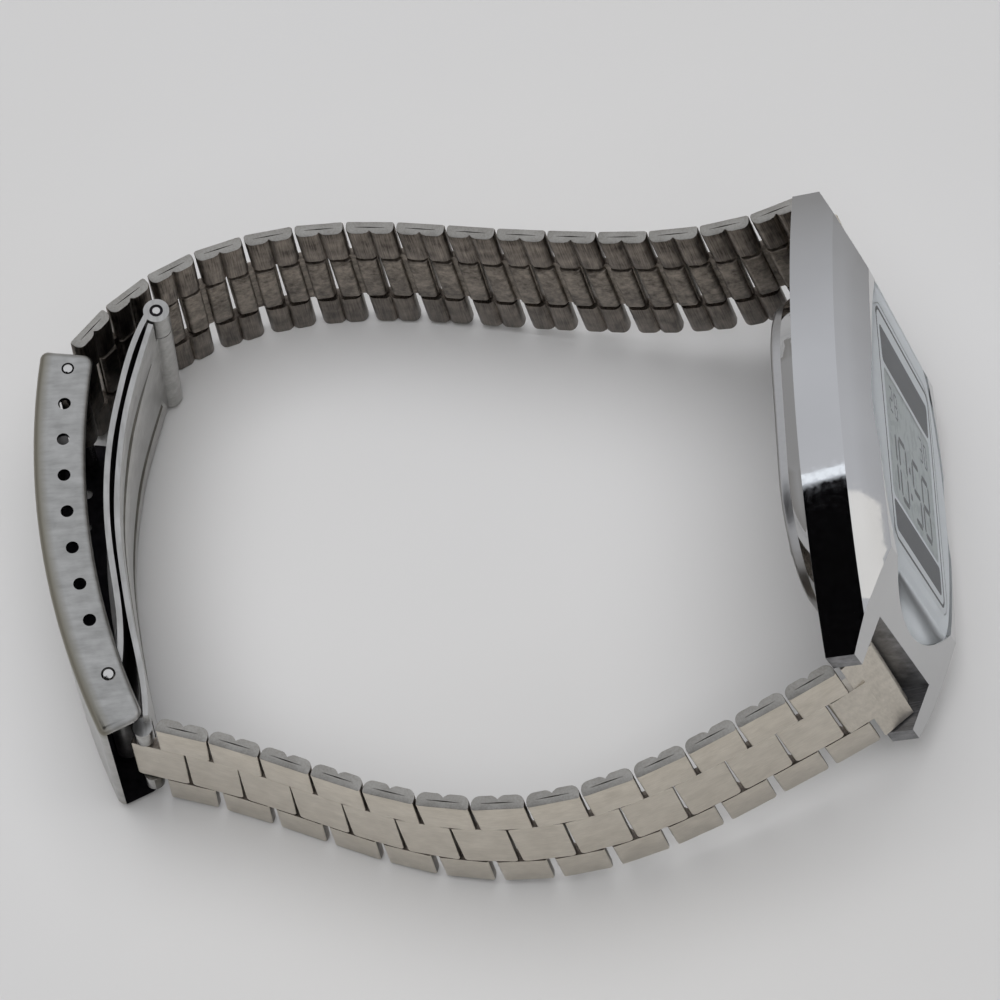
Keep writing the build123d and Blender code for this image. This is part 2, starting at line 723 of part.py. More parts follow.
# Clasp: cover, blades and pins
with BuildPart() as clasp_cover:
    with BuildSketch() as cover_side:
        with BuildLine():
            outer_arc = ThreePointArc(
                arc_point(cover_start, -cover_outer),
                arc_point((cover_start + cover_end) / 2, -cover_outer),
                arc_point(cover_end, -cover_outer),
            )
            inner_arc = ThreePointArc(
                arc_point(cover_end - cover_corner, flange_edge_end),
                arc_point((cover_start + cover_end) / 2, (flange_edge_start + flange_edge_end) / 2),
                arc_point(cover_start + cover_corner, flange_edge_start),
            )
            corner_cut = cover_corner * corner_share
            end_corner = arc_point(cover_end, flange_edge_end - cover_corner)
            Line(outer_arc @ 1, end_corner)
            ThreePointArc(
                end_corner,
                arc_point(cover_end - corner_cut, flange_edge_end - corner_cut),
                inner_arc @ 0,
            )
            start_corner = arc_point(cover_start, flange_edge_start - cover_corner)
            ThreePointArc(
                inner_arc @ 1,
                arc_point(cover_start + corner_cut, flange_edge_start - corner_cut),
                start_corner,
            )
            Line(start_corner, outer_arc @ 0)
        make_face()
    extrude(amount=cover_half_width, both=True)
    long_edges = [
        edge for edge in clasp_cover.edges().filter_by(GeomType.CIRCLE)
        if abs(edge.radius - clasp_radius - cover_outer) < run_clearance
    ]
    fillet(long_edges, cover_edge_round)
    outer_corner_point = (*arc_point(cover_start, -cover_outer), 0)
    start_edge = clasp_cover.edges().filter_by(Axis.Z).sort_by_distance(outer_corner_point)[0]
    fillet(start_edge, cover_edge_round)
    with BuildSketch() as channel_side:
        with BuildLine():
            web_arc = ThreePointArc(
                arc_point(2 * cover_start, cover_sheet - cover_outer),
                arc_point((cover_start + cover_end) / 2, cover_sheet - cover_outer),
                arc_point(cover_end - 2 * cover_start, cover_sheet - cover_outer),
            )
            mouth_arc = ThreePointArc(
                arc_point(cover_end - 2 * cover_start, 2 * flange_edge_start),
                arc_point((cover_start + cover_end) / 2, 2 * flange_edge_start),
                arc_point(2 * cover_start, 2 * flange_edge_start),
            )
            Line(web_arc @ 1, mouth_arc @ 0)
            Line(mouth_arc @ 1, web_arc @ 0)
        make_face()
    extrude(amount=cover_half_width - cover_sheet, both=True, mode=Mode.SUBTRACT)
    for index in range(hole_count):
        with Locations(arc_point(index * hole_pitch, 0)):
            Cylinder(hole_radius, 2 * cover_half_width, mode=Mode.SUBTRACT)
    with Locations(arc_point(first_hinge, 0)):
        Cylinder(hinge_pin_radius, 2 * cover_half_width, mode=Mode.SUBTRACT)


def strip_side(points):
    """Closed outline of a thin curved strip given by its middle line along the clasp."""
    middle = [arc_point(along, inward) for along, inward in points]
    left = []
    right = []
    for index, (x, y) in enumerate(middle):
        before = middle[max(index - 1, 0)]
        after = middle[min(index + 1, len(middle) - 1)]
        run_x = after[0] - before[0]
        run_y = after[1] - before[1]
        run = hypot(run_x, run_y)
        side_x = -run_y / run * blade_sheet / 2
        side_y = run_x / run * blade_sheet / 2
        left.append((x + side_x, y + side_y))
        right.append((x - side_x, y - side_y))
    return left, right


fold_point = arc_point(*fold_hinge)
first_point = arc_point(first_hinge, 0)
last_point = (last_pin_local.X, last_pin_local.Y)
top_knuckle_low = blade_half_width - fold_knuckle_length
blade_left, blade_right = strip_side(blade_a_line)
with BuildPart() as blade_a:
    with BuildSketch():
        with BuildLine():
            left_side = Spline(*blade_left)
            right_side = Spline(*blade_right)
            Line(left_side @ 0, right_side @ 0)
            Line(left_side @ 1, right_side @ 1)
        make_face()
    extrude(amount=blade_half_width, both=True)
    low_length = top_knuckle_low + blade_half_width
    with Locations((fold_point[0], fold_point[1], (top_knuckle_low - blade_half_width) / 2)):
        Cylinder(barrel_radius + trim_gap, low_length, mode=Mode.SUBTRACT)
    with Locations((fold_point[0], fold_point[1], blade_half_width - fold_knuckle_length / 2)):
        Cylinder(barrel_radius, fold_knuckle_length)
    with Locations(first_point):
        Cylinder(barrel_radius, 2 * blade_half_width)
        Cylinder(hinge_pin_radius + run_clearance, 2 * blade_half_width, mode=Mode.SUBTRACT)
    with Locations((fold_point[0], fold_point[1], blade_half_width - fold_knuckle_length / 2)):
        Cylinder(hinge_pin_radius, fold_knuckle_length, mode=Mode.SUBTRACT)

blade_left, blade_right = strip_side(blade_b_line)
knuckle_z = half_centre + end_gap + end_knuckle_length / 2
with BuildPart() as blade_b:
    with BuildSketch():
        with BuildLine():
            left_side = Spline(*blade_left)
            right_side = Spline(*blade_right)
            Line(left_side @ 0, right_side @ 0)
            Line(left_side @ 1, right_side @ 1)
        make_face()
    extrude(amount=blade_half_width, both=True)
    with Locations((fold_point[0], fold_point[1], blade_half_width - fold_knuckle_length / 2)):
        Cylinder(barrel_radius + trim_gap, fold_knuckle_length + 2 * knuckle_gap, mode=Mode.SUBTRACT)
    barrel_length = 2 * blade_half_width - fold_knuckle_length - knuckle_gap
    with Locations((fold_point[0], fold_point[1], barrel_length / 2 - blade_half_width)):
        Cylinder(barrel_radius, barrel_length)
        Cylinder(hinge_pin_radius + run_clearance, barrel_length, mode=Mode.SUBTRACT)
    with Locations((last_point[0], last_point[1], shift_z)):
        Cylinder(barrel_radius + end_trim_gap, 2 * (half_centre + end_gap), mode=Mode.SUBTRACT)
    with Locations(
        (last_point[0], last_point[1], shift_z + knuckle_z),
        (last_point[0], last_point[1], shift_z - knuckle_z),
    ):
        Cylinder(end_knuckle_radius, end_knuckle_length)

with BuildPart() as fold_pin:
    with Locations(fold_point):
        Cylinder(hinge_pin_radius, 2 * blade_half_width)

with BuildPart() as first_pin:
    with Locations(first_point):
        Cylinder(hinge_pin_radius, 2 * cover_half_width)

with BuildPart() as clasp_bar:
    Cylinder(clasp_bar_radius, 2 * (cover_half_width - cover_sheet - run_clearance))
    Cylinder(hole_radius, 2 * cover_half_width)

# Placing and export
pieces = {}
for name, piece in (
    ("case_body", case_body), ("crystal", crystal), ("crystal_gasket", crystal_gasket),
    ("dial_plate", dial_plate), ("display_glass", display_glass), ("module_frame", module_frame),
    ("circuit_board", circuit_board), ("side_contacts", side_contacts),
    ("connector_strips", connector_strips), ("lamp", lamp), ("battery", battery),
    ("battery_clip", battery_clip), ("buzzer_contact", buzzer_contact),
    ("back_gasket", back_gasket), ("case_back", case_back), ("back_screws", back_screws),
):
    pieces[name] = piece.part.moved(case_place)
for number, place in enumerate(button_places):
    pieces["button_" + str(number + 1)] = button.part.moved(case_place * place)
pieces["lug_bar_upper"] = lug_bar.part.moved(bar_upper)
pieces["lug_bar_lower"] = lug_bar.part.moved(bar_lower)
pieces["end_link_upper"] = end_link.part.moved(upper_end_place)
pieces["end_link_lower"] = end_link.part.moved(lower_end_place)
for number, link in enumerate(upper_links):
    pieces["upper_link_" + str(number + 1).zfill(2)] = link
for number, link in enumerate(lower_links):
    pieces["lower_link_" + str(number + 1).zfill(2)] = link
pieces["clasp_end_pin"] = end_pin.part
for name, piece in (
    ("clasp_cover", clasp_cover), ("clasp_bar", clasp_bar), ("clasp_first_pin", first_pin),
    ("clasp_blade_a", blade_a), ("clasp_fold_pin", fold_pin), ("clasp_blade_b", blade_b),
):
    pieces[name] = piece.part.moved(clasp_place)

# The common frame: origin at the middle of the bounding box's underside
boxes = [piece.bounding_box() for piece in pieces.values()]
middle_x = (min(box.min.X for box in boxes) + max(box.max.X for box in boxes)) / 2
middle_y = (min(box.min.Y for box in boxes) + max(box.max.Y for box in boxes)) / 2
row_place = Location((-middle_x, -middle_y, -min(box.min.Z for box in boxes)))

for name, piece in pieces.items():
    placed = piece.moved(row_place)
    placed.label = name
    export_step(placed, "parts/" + name + ".step")
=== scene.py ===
"""Looks of a digital wrist watch on a steel link bracelet, lying on its side with its clasp shut.

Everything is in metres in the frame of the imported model: +Z is up, +X is toward the case, and the
table is at zero height.
"""
import json
import math

import bmesh
import bpy
from mathutils import Matrix, Vector

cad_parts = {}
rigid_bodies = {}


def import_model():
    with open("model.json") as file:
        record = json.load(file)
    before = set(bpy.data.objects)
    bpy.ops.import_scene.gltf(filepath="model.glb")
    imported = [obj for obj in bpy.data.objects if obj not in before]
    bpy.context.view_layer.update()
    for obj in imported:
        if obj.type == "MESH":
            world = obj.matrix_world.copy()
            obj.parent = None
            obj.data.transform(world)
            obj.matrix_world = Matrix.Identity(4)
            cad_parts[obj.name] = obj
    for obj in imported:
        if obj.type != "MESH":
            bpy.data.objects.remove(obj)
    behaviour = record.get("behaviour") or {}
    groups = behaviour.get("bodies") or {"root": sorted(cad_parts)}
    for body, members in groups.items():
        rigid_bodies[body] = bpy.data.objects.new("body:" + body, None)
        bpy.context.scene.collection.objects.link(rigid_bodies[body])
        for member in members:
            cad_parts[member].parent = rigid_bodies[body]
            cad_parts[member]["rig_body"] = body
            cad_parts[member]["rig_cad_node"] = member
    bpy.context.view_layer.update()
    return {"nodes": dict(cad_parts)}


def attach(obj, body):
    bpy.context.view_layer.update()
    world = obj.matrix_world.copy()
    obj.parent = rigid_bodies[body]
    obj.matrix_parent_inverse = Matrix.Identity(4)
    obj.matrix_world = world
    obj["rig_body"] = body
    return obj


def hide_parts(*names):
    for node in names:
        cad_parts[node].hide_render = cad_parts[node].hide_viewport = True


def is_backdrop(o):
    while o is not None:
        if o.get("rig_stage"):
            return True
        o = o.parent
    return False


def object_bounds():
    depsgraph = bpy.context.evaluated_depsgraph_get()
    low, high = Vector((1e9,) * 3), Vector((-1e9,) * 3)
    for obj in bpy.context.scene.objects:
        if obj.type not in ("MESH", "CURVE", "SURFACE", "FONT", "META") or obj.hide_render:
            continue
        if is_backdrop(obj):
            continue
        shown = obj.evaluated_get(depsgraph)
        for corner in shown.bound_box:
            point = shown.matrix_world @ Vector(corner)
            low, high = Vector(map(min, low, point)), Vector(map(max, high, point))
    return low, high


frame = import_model()
scene = bpy.context.scene
scene.view_settings.view_transform = "Standard"

# Camera
# A short telephoto view from above the near side of the loop, turned a little about its own
# axis, as the watch was photographed on the table.
view_height = math.radians(66.95)
view_roll = math.radians(-7.35)
bpy.ops.object.camera_add(location=(0.000360, -0.089820, 0.228735))
camera = bpy.context.object
camera.rotation_mode = "ZYX"
camera.rotation_euler = (math.pi / 2 - view_height, 0, view_roll)
camera.data.lens = 97.1
camera.data.sensor_width = 36
camera.data.clip_start = 0.01
scene.camera = camera

# Table
# A plain pale table top, dull paint with faint clouds. Away from the watch it fades into an even
# pale backdrop, so that the polished steel mirrors pale ground all round.
table_colour = (0.655, 0.658, 0.670, 1)
cloud_colour = (0.630, 0.625, 0.615, 1)
backdrop_colour = (0.60, 0.60, 0.61, 1)
fade_start = 0.15
fade_end = 0.90
bpy.ops.mesh.primitive_plane_add(size=6, location=(0, 0, 0))
table = bpy.context.object
table.name = "table_top"
paint = bpy.data.materials.new("table_paint")
paint.use_nodes = True
nodes, links = paint.node_tree.nodes, paint.node_tree.links
shader = nodes["Principled BSDF"]
shader.inputs["Roughness"].default_value = 0.75
shader.inputs["Specular IOR Level"].default_value = 0.25
where = nodes.new("ShaderNodeTexCoord")
clouds = nodes.new("ShaderNodeTexNoise")
clouds.inputs["Scale"].default_value = 9
clouds.inputs["Detail"].default_value = 3
tint = nodes.new("ShaderNodeMix")
tint.data_type = "RGBA"
tint.inputs["A"].default_value = table_colour
tint.inputs["B"].default_value = cloud_colour
links.new(where.outputs["Object"], clouds.inputs["Vector"])
links.new(clouds.outputs["Fac"], tint.inputs["Factor"])
links.new(tint.outputs["Result"], shader.inputs["Base Color"])
apart = nodes.new("ShaderNodeVectorMath")
apart.operation = "LENGTH"
fade = nodes.new("ShaderNodeMapRange")
fade.inputs["From Min"].default_value = fade_start
fade.inputs["From Max"].default_value = fade_end
pale = nodes.new("ShaderNodeEmission")
pale.inputs["Color"].default_value = backdrop_colour
backdrop = nodes.new("ShaderNodeMixShader")
links.new(where.outputs["Object"], apart.inputs[0])
links.new(apart.outputs["Value"], fade.inputs["Value"])
links.new(fade.outputs["Result"], backdrop.inputs["Fac"])
links.new(shader.outputs["BSDF"], backdrop.inputs[1])
links.new(pale.outputs["Emission"], backdrop.inputs[2])
links.new(backdrop.outputs["Shader"], nodes["Material Output"].inputs["Surface"])
table.data.materials.append(paint)
table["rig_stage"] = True

# Surround
# A pale studio, a little darker toward the ground. Glossy pieces mirror it, but the dull ones are
# lit by the lamps alone, which keeps the table even inside the loop.
ground_shade = (0.36, 0.35, 0.34, 1)
sky_shade = (0.88, 0.90, 0.95, 1)
sky = bpy.data.worlds.new("studio")
sky.use_nodes = True
nodes, links = sky.node_tree.nodes, sky.node_tree.links
where = nodes.new("ShaderNodeTexCoord")
rise = nodes.new("ShaderNodeSeparateXYZ")
fade = nodes.new("ShaderNodeValToRGB")
fade.color_ramp.elements[0].position = 0.0
fade.color_ramp.elements[0].color = ground_shade
fade.color_ramp.elements[1].position = 0.72
fade.color_ramp.elements[1].color = sky_shade
links.new(where.outputs["Generated"], rise.inputs["Vector"])
links.new(rise.outputs["Z"], fade.inputs["Fac"])
links.new(fade.outputs["Color"], nodes["Background"].inputs["Color"])
nodes["Background"].inputs["Strength"].default_value = 0.92
sky.cycles_visibility.diffuse = False
scene.world = sky

# Lamps
# A wide soft lamp overhead and three weak ones at the far left, near and right. The right one is
# the only lamp that the polished steel shows, as a warm light on the case's long facet.


def soft_lamp(name, place, width, power, colour, mirrored):
    """A square lamp that faces the watch; the polished steel shows it only where mirrored."""
    bpy.ops.object.light_add(type="AREA", location=place)
    lamp = bpy.context.object
    lamp.name = name
    lamp.data.size = width
    lamp.data.energy = power
    lamp.data.color = colour
    lamp.visible_glossy = mirrored
    lamp.rotation_mode = "QUATERNION"
    lamp.rotation_quaternion = Vector(place).to_track_quat("Z", "Y")
    return lamp


soft_lamp("lamp_above", (-0.02, 0.04, 0.90), 0.9, 8.2, (0.99, 0.99, 1.0), False)
soft_lamp("lamp_far_left", (-0.30, 0.50, 0.80), 0.6, 1.0, (1.0, 0.99, 0.97), False)
soft_lamp("lamp_near", (0.10, -0.60, 0.90), 0.5, 1.2, (1.0, 0.98, 0.95), False)
soft_lamp("lamp_right", (0.62, -0.06, 0.52), 0.22, 0.07, (1.0, 0.94, 0.82), True)

# Dark card
# A dark card above the near left side, with a bright rim along its far edge. Only the polished
# steel shows it: it gives the long wall of the case its black block with the bright line on top.
card_middle = (-0.1154, -0.0767, 0.275)
card_facing = Vector((-0.125, -0.055, 0.275))
card_size = (0.232, 0.19, 1)
rim_start = -0.440
rim_full = -0.455
rim_glow = 1.7
bpy.ops.mesh.primitive_plane_add(size=1, location=card_middle)
dark_card = bpy.context.object
dark_card.name = "dark_card"
dark_card.scale = card_size
dark_card.rotation_mode = "QUATERNION"
dark_card.rotation_quaternion = card_facing.to_track_quat("Z", "Y")
finish = bpy.data.materials.new("dark_card")
finish.use_nodes = True
nodes, links = finish.node_tree.nodes, finish.node_tree.links
shader = nodes["Principled BSDF"]
shader.inputs["Base Color"].default_value = (0.004, 0.0035, 0.004, 1)
shader.inputs["Specular IOR Level"].default_value = 0.0
shader.inputs["Emission Color"].default_value = (0.88, 0.93, 1.0, 1)
where = nodes.new("ShaderNodeTexCoord")
across = nodes.new("ShaderNodeSeparateXYZ")
rim = nodes.new("ShaderNodeMapRange")
rim.inputs["From Min"].default_value = rim_start
rim.inputs["From Max"].default_value = rim_full
rim.inputs["To Max"].default_value = rim_glow
links.new(where.outputs["Object"], across.inputs["Vector"])
links.new(across.outputs["X"], rim.inputs["Value"])
links.new(rim.outputs["Result"], shader.inputs["Emission Strength"])
dark_card.data.materials.append(finish)
dark_card.visible_camera = False
dark_card.visible_diffuse = False
dark_card.visible_shadow = False
dark_card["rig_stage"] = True

# Places of the bracelet links
# Each strip is a chain: a link turns about the pin that it shares with the centre piece before
# it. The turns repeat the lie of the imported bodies, from the two ends of the case outward.
pitch = 0.0048
pin_place = 0.0012
row_shift = Vector((0.000360, 0.003389, 0.000215))
case_origin = Vector((0.02678, -0.00340, 0.01510)) + row_shift
face_direction = Vector((0.9490, -0.0948, 0.3006))
nine_direction = Vector((-0.3000, 0.0199, 0.9537))


def turned(x, y, z):
    """Turn about x, then about the new y, then about the new z, in degrees."""
    parts = [Matrix.Rotation(math.radians(a), 4, n) for a, n in ((x, "X"), (y, "Y"), (z, "Z"))]
    return parts[0] @ parts[1] @ parts[2]


def axes(origin, x_axis, z_axis):
    """Frame at an origin with its z along z_axis and its x as near x_axis as that allows."""
    z = z_axis.normalized()
    y = z.cross(x_axis).normalized()
    place = Matrix((y.cross(z), y, z)).transposed().to_4x4()
    place.translation = origin
    return place


def chain(start, bends, first_fan, fan_change):
    """Frames of a strip's links: x toward the clasp, y outward, z along the pins."""
    places = [start @ turned(0, first_fan, 0)]
    for index, bend in enumerate(bends):
        fan = first_fan + fan_change * (index + 1) / (len(bends) + 1)
        step = Matrix.Translation((pitch, 0, 0)) @ turned(0, fan, -bend)
        places.append(places[-1] @ step)
    return places


case_place = axes(case_origin, face_direction, nine_direction)
strip_start = Vector((0.00263, 0.02105, 0))
upper_bends = [-9.0, -7.0, -4.4, -1.9, -0.2, -0.6, 1.1, 4.2, 6.3, 7.6, 9.1, 10.8, 11.8, 10.7]
lower_bends = [0.5, 0.1, 2.8, 5.1, 7.8, 8.2, 7.8, 7.7, 3.9, 0.0, -2.4, -4.3]
upper_start = case_place @ Matrix.Translation(strip_start) @ turned(0, 0, 192.9) @ turned(180, 0, 0)
lower_start = case_place @ Matrix.Translation(strip_start * Vector((1, -1, 1))) @ turned(0, 0, 203.9)
upper_places = chain(upper_start, upper_bends, 1.62, -0.136)
lower_places = chain(lower_start, lower_bends, -1.66, -0.34)
eye_place = upper_places[-1] @ Matrix.Translation((pitch, 0, 0)) @ turned(180, 0, 0)
clasp_place = eye_place @ Matrix.Translation((0.00198, 0.00121, 0)) @ turned(0, 0, 34.7)

# Bracelet links
# A link has two side pieces folded from steel sheet, flat outside, with two rounded lobes inside
# that meet in a seam, and a slit between the folds at its end. Two pins carry a pressed centre
# piece, flat outside and with two columns inside, which reaches to the next link's pin.
link_thick = 0.00125
half_thick = link_thick / 2
side_start = 0.00412
strip_half = 0.009
side_length = 0.00435
lobe_round = 0.00070
slit_length = 0.0027
slit_width = 0.00010
slit_depth = 0.0006
centre_length = 0.0046
centre_half = 0.004
plate_thick = 0.00072
column_width = 0.0019
column_length = 0.0070
pin_radius = 0.00035
pin_span = 0.016


def pick(kind, test):
    """In edit mode, selects the points, edges or faces whose middle passes the test."""
    bpy.ops.mesh.select_mode(type=kind)
    bpy.ops.mesh.select_all(action="DESELECT")
    mesh = bmesh.from_edit_mesh(bpy.context.object.data)
    for part in {"VERT": mesh.verts, "EDGE": mesh.edges, "FACE": mesh.faces}[kind]:
        corners = [part] if kind == "VERT" else list(part.verts)
        middle = sum((corner.co for corner in corners), Vector()) / len(corners)
        if test(middle, part):
            part.select_set(True)
    bmesh.update_edit_mesh(bpy.context.object.data)


def along(part, direction):
    """True for an edge that runs along a direction."""
    run = part.verts[1].co - part.verts[0].co
    return abs(run.normalized().dot(direction)) > 0.99


def block(name, middle, size):
    """A box at its place, ready to be shaped in edit mode."""
    bpy.ops.object.select_all(action="DESELECT")
    bpy.ops.mesh.primitive_cube_add(size=1, location=middle, scale=size)
    bpy.ops.object.transform_apply(location=True, rotation=True, scale=True)
    piece = bpy.context.object
    piece.name = name
    return piece


def rod(name, middle, radius, length, rim):
    """A pin along z with rounded rims."""
    bpy.ops.object.select_all(action="DESELECT")
    bpy.ops.mesh.primitive_cylinder_add(vertices=24, radius=radius, depth=length, location=middle)
    bpy.ops.object.transform_apply(location=True, rotation=True, scale=True)
    piece = bpy.context.object
    piece.name = name
    bpy.ops.object.mode_set(mode="EDIT")
    pick("EDGE", lambda m, e: abs(e.verts[0].co.z - e.verts[1].co.z) < 1e-7)
    bpy.ops.mesh.bevel(offset=rim, segments=2, affect="EDGES")
    bpy.ops.object.mode_set(mode="OBJECT")
    return piece


def joined(pieces, name):
    """One object of several."""
    bpy.ops.object.select_all(action="DESELECT")
    for piece in pieces:
        piece.select_set(True)
    bpy.context.view_layer.objects.active = pieces[0]
    bpy.ops.object.join()
    pieces[0].name = name
    return pieces[0]


def softened(piece, width, segments, angle):
    """Rounds every sharp edge a little and shades the rest smooth."""
    bpy.ops.object.select_all(action="DESELECT")
    piece.select_set(True)
    bpy.context.view_layer.objects.active = piece
    bevel = piece.modifiers.new("edges", "BEVEL")
    bevel.width = width
    bevel.segments = segments
    bevel.limit_method = "ANGLE"
    bevel.angle_limit = math.radians(angle)
    bpy.ops.object.modifier_apply(modifier=bevel.name)
    bpy.ops.object.shade_smooth_by_angle(angle=math.radians(40))
    even = piece.modifiers.new("normals", "WEIGHTED_NORMAL")
    even.mode = "FACE_AREA"
    even.weight = 80
    even.keep_sharp = True
    bpy.ops.object.modifier_apply(modifier=even.name)
    return piece


def cut_out(piece, tool):
    """Takes a tool's shape out of a piece and puts the tool away."""
    bpy.ops.object.select_all(action="DESELECT")
    piece.select_set(True)
    bpy.context.view_layer.objects.active = piece
    cut = piece.modifiers.new("cut", "BOOLEAN")
    cut.object = tool
    cut.solver = "EXACT"
    bpy.ops.object.modifier_apply(modifier=cut.name)
    bpy.data.objects.remove(tool)
    return piece


def side_piece(side):
    """A side piece; side is 1 at nine o'clock and -1 at three o'clock, near the table."""
    z_axis = Vector((0, 0, 1))
    middle = side * (side_start + strip_half) / 2
    piece = block("side", (pitch / 2, 0, middle), (side_length, link_thick, strip_half - side_start))
    bpy.ops.object.mode_set(mode="EDIT")
    bpy.ops.mesh.select_all(action="SELECT")
    bpy.ops.mesh.bisect(plane_co=(pitch / 2, 0, 0), plane_no=(1, 0, 0), threshold=1e-8)
    pick("EDGE", lambda m, e: along(e, z_axis) and m.y < -0.0005 and abs(m.x - pitch / 2) > 0.001)
    bpy.ops.mesh.bevel(offset=lobe_round, segments=6, affect="EDGES")
    pick("EDGE", lambda m, e: along(e, z_axis) and m.y > 0.0005 and abs(m.x - pitch / 2) > 0.001)
    bpy.ops.mesh.bevel(offset=0.00022, segments=3, affect="EDGES")
    pick("EDGE", lambda m, e: along(e, z_axis) and m.y < -0.0005 and abs(m.x - pitch / 2) < 1e-5)
    bpy.ops.mesh.bevel(offset=0.00054, segments=6, affect="EDGES")
    for reach, rise in ((0.0, 0.00036), (0.00018, 0.00017), (0.00036, 0.00005)):
        pick("VERT", lambda m, v: m.y < -0.0005 and abs(abs(m.x - pitch / 2) - reach) < 5e-5)
        bpy.ops.transform.translate(value=(0, rise, 0))
    rim = 0.00007 if side > 0 else 0.00014
    pick("EDGE", lambda m, e: abs(m.z) > 0.00899 and not along(e, z_axis)
         and (abs(m.x - pitch / 2) > 0.00019 or m.y > 0))
    bpy.ops.mesh.bevel(offset=rim, segments=2, affect="EDGES")
    bpy.ops.object.mode_set(mode="OBJECT")
    slit_size = (slit_length, slit_width, 2 * slit_depth)
    slit = block("slit", (pitch / 2, 0.00004, side * strip_half), slit_size)
    bpy.ops.object.mode_set(mode="EDIT")
    bpy.ops.mesh.select_all(action="SELECT")
    bpy.ops.mesh.bisect(plane_co=(pitch / 2, 0, 0), plane_no=(1, 0, 0), threshold=1e-8)
    pick("VERT", lambda m, v: abs(m.x - pitch / 2) > 0.001)
    bpy.ops.transform.resize(value=(1, 0.25, 1), center_override=(pitch / 2, 0.00004, 0))
    bpy.ops.object.mode_set(mode="OBJECT")
    cut_out(piece, slit)
    bpy.ops.object.shade_smooth_by_angle(angle=math.radians(40))
    return piece


def centre_piece():
    """The pressed centre piece about the middle between its two pins."""
    y_axis, z_axis = Vector((0, 1, 0)), Vector((0, 0, 1))
    plate = block(
        "plate", (0, half_thick - plate_thick / 2, 0), (centre_length, plate_thick, 2 * centre_half)
    )
    bpy.ops.object.mode_set(mode="EDIT")
    pick("EDGE", lambda m, e: along(e, y_axis) and m.z < 0)
    bpy.ops.mesh.bevel(offset=0.00050, segments=5, affect="EDGES")
    pick("EDGE", lambda m, e: along(e, y_axis) and m.z > 0 and abs(m.x) > 0.0022)
    bpy.ops.mesh.bevel(offset=0.00014, segments=3, affect="EDGES")
    bpy.ops.object.mode_set(mode="OBJECT")
    softened(plate, 0.00012, 3, 50)
    parts = [plate]
    for x in (-0.0012, 0.0012):
        column = block("column", (x, -0.0003, 0.0001), (column_width, 0.00065, column_length))
        bpy.ops.object.mode_set(mode="EDIT")
        pick("EDGE", lambda m, e: along(e, z_axis) and m.y < -0.0005)
        bpy.ops.mesh.bevel(offset=0.00040, segments=5, affect="EDGES")
        pick("EDGE", lambda m, e: abs(m.z) > 0.0033 and m.y < -0.0003 and not along(e, z_axis))
        bpy.ops.mesh.bevel(offset=0.00018, segments=3, affect="EDGES")
        bpy.ops.object.mode_set(mode="OBJECT")
        bpy.ops.object.shade_smooth_by_angle(angle=math.radians(40))
        parts.append(column)
    return joined(parts, "centre")


def eye_piece(reach):
    """The last centre piece, with the eye for the clasp's bar at the end of its plate."""
    plate_size = (reach + link_thick, link_thick - 0.0001, 2 * centre_half - 0.0001)
    plate = block("plate", (0, 0, 0), plate_size)
    softened(plate, 0.00018, 3, 50)
    tube = rod("tube", (reach / 2, 0, 0), 0.00127, 2 * centre_half - 0.0001, 0.00010)
    for piece in (plate, tube):
        cut_out(piece, rod("bore", (reach / 2, 0, 0), 0.00080, 3 * centre_half, 0.00010))
        bpy.ops.object.shade_smooth_by_angle(angle=math.radians(40))
    return joined([plate, tube], "eye")


sides = [side_piece(1), side_piece(-1)]
pins = [rod("pin", (x, 0, 0), pin_radius, pin_span, 0.00008) for x in (pin_place, pitch - pin_place)]
side_pair = joined(sides + pins, "side_pair")
centre = centre_piece()


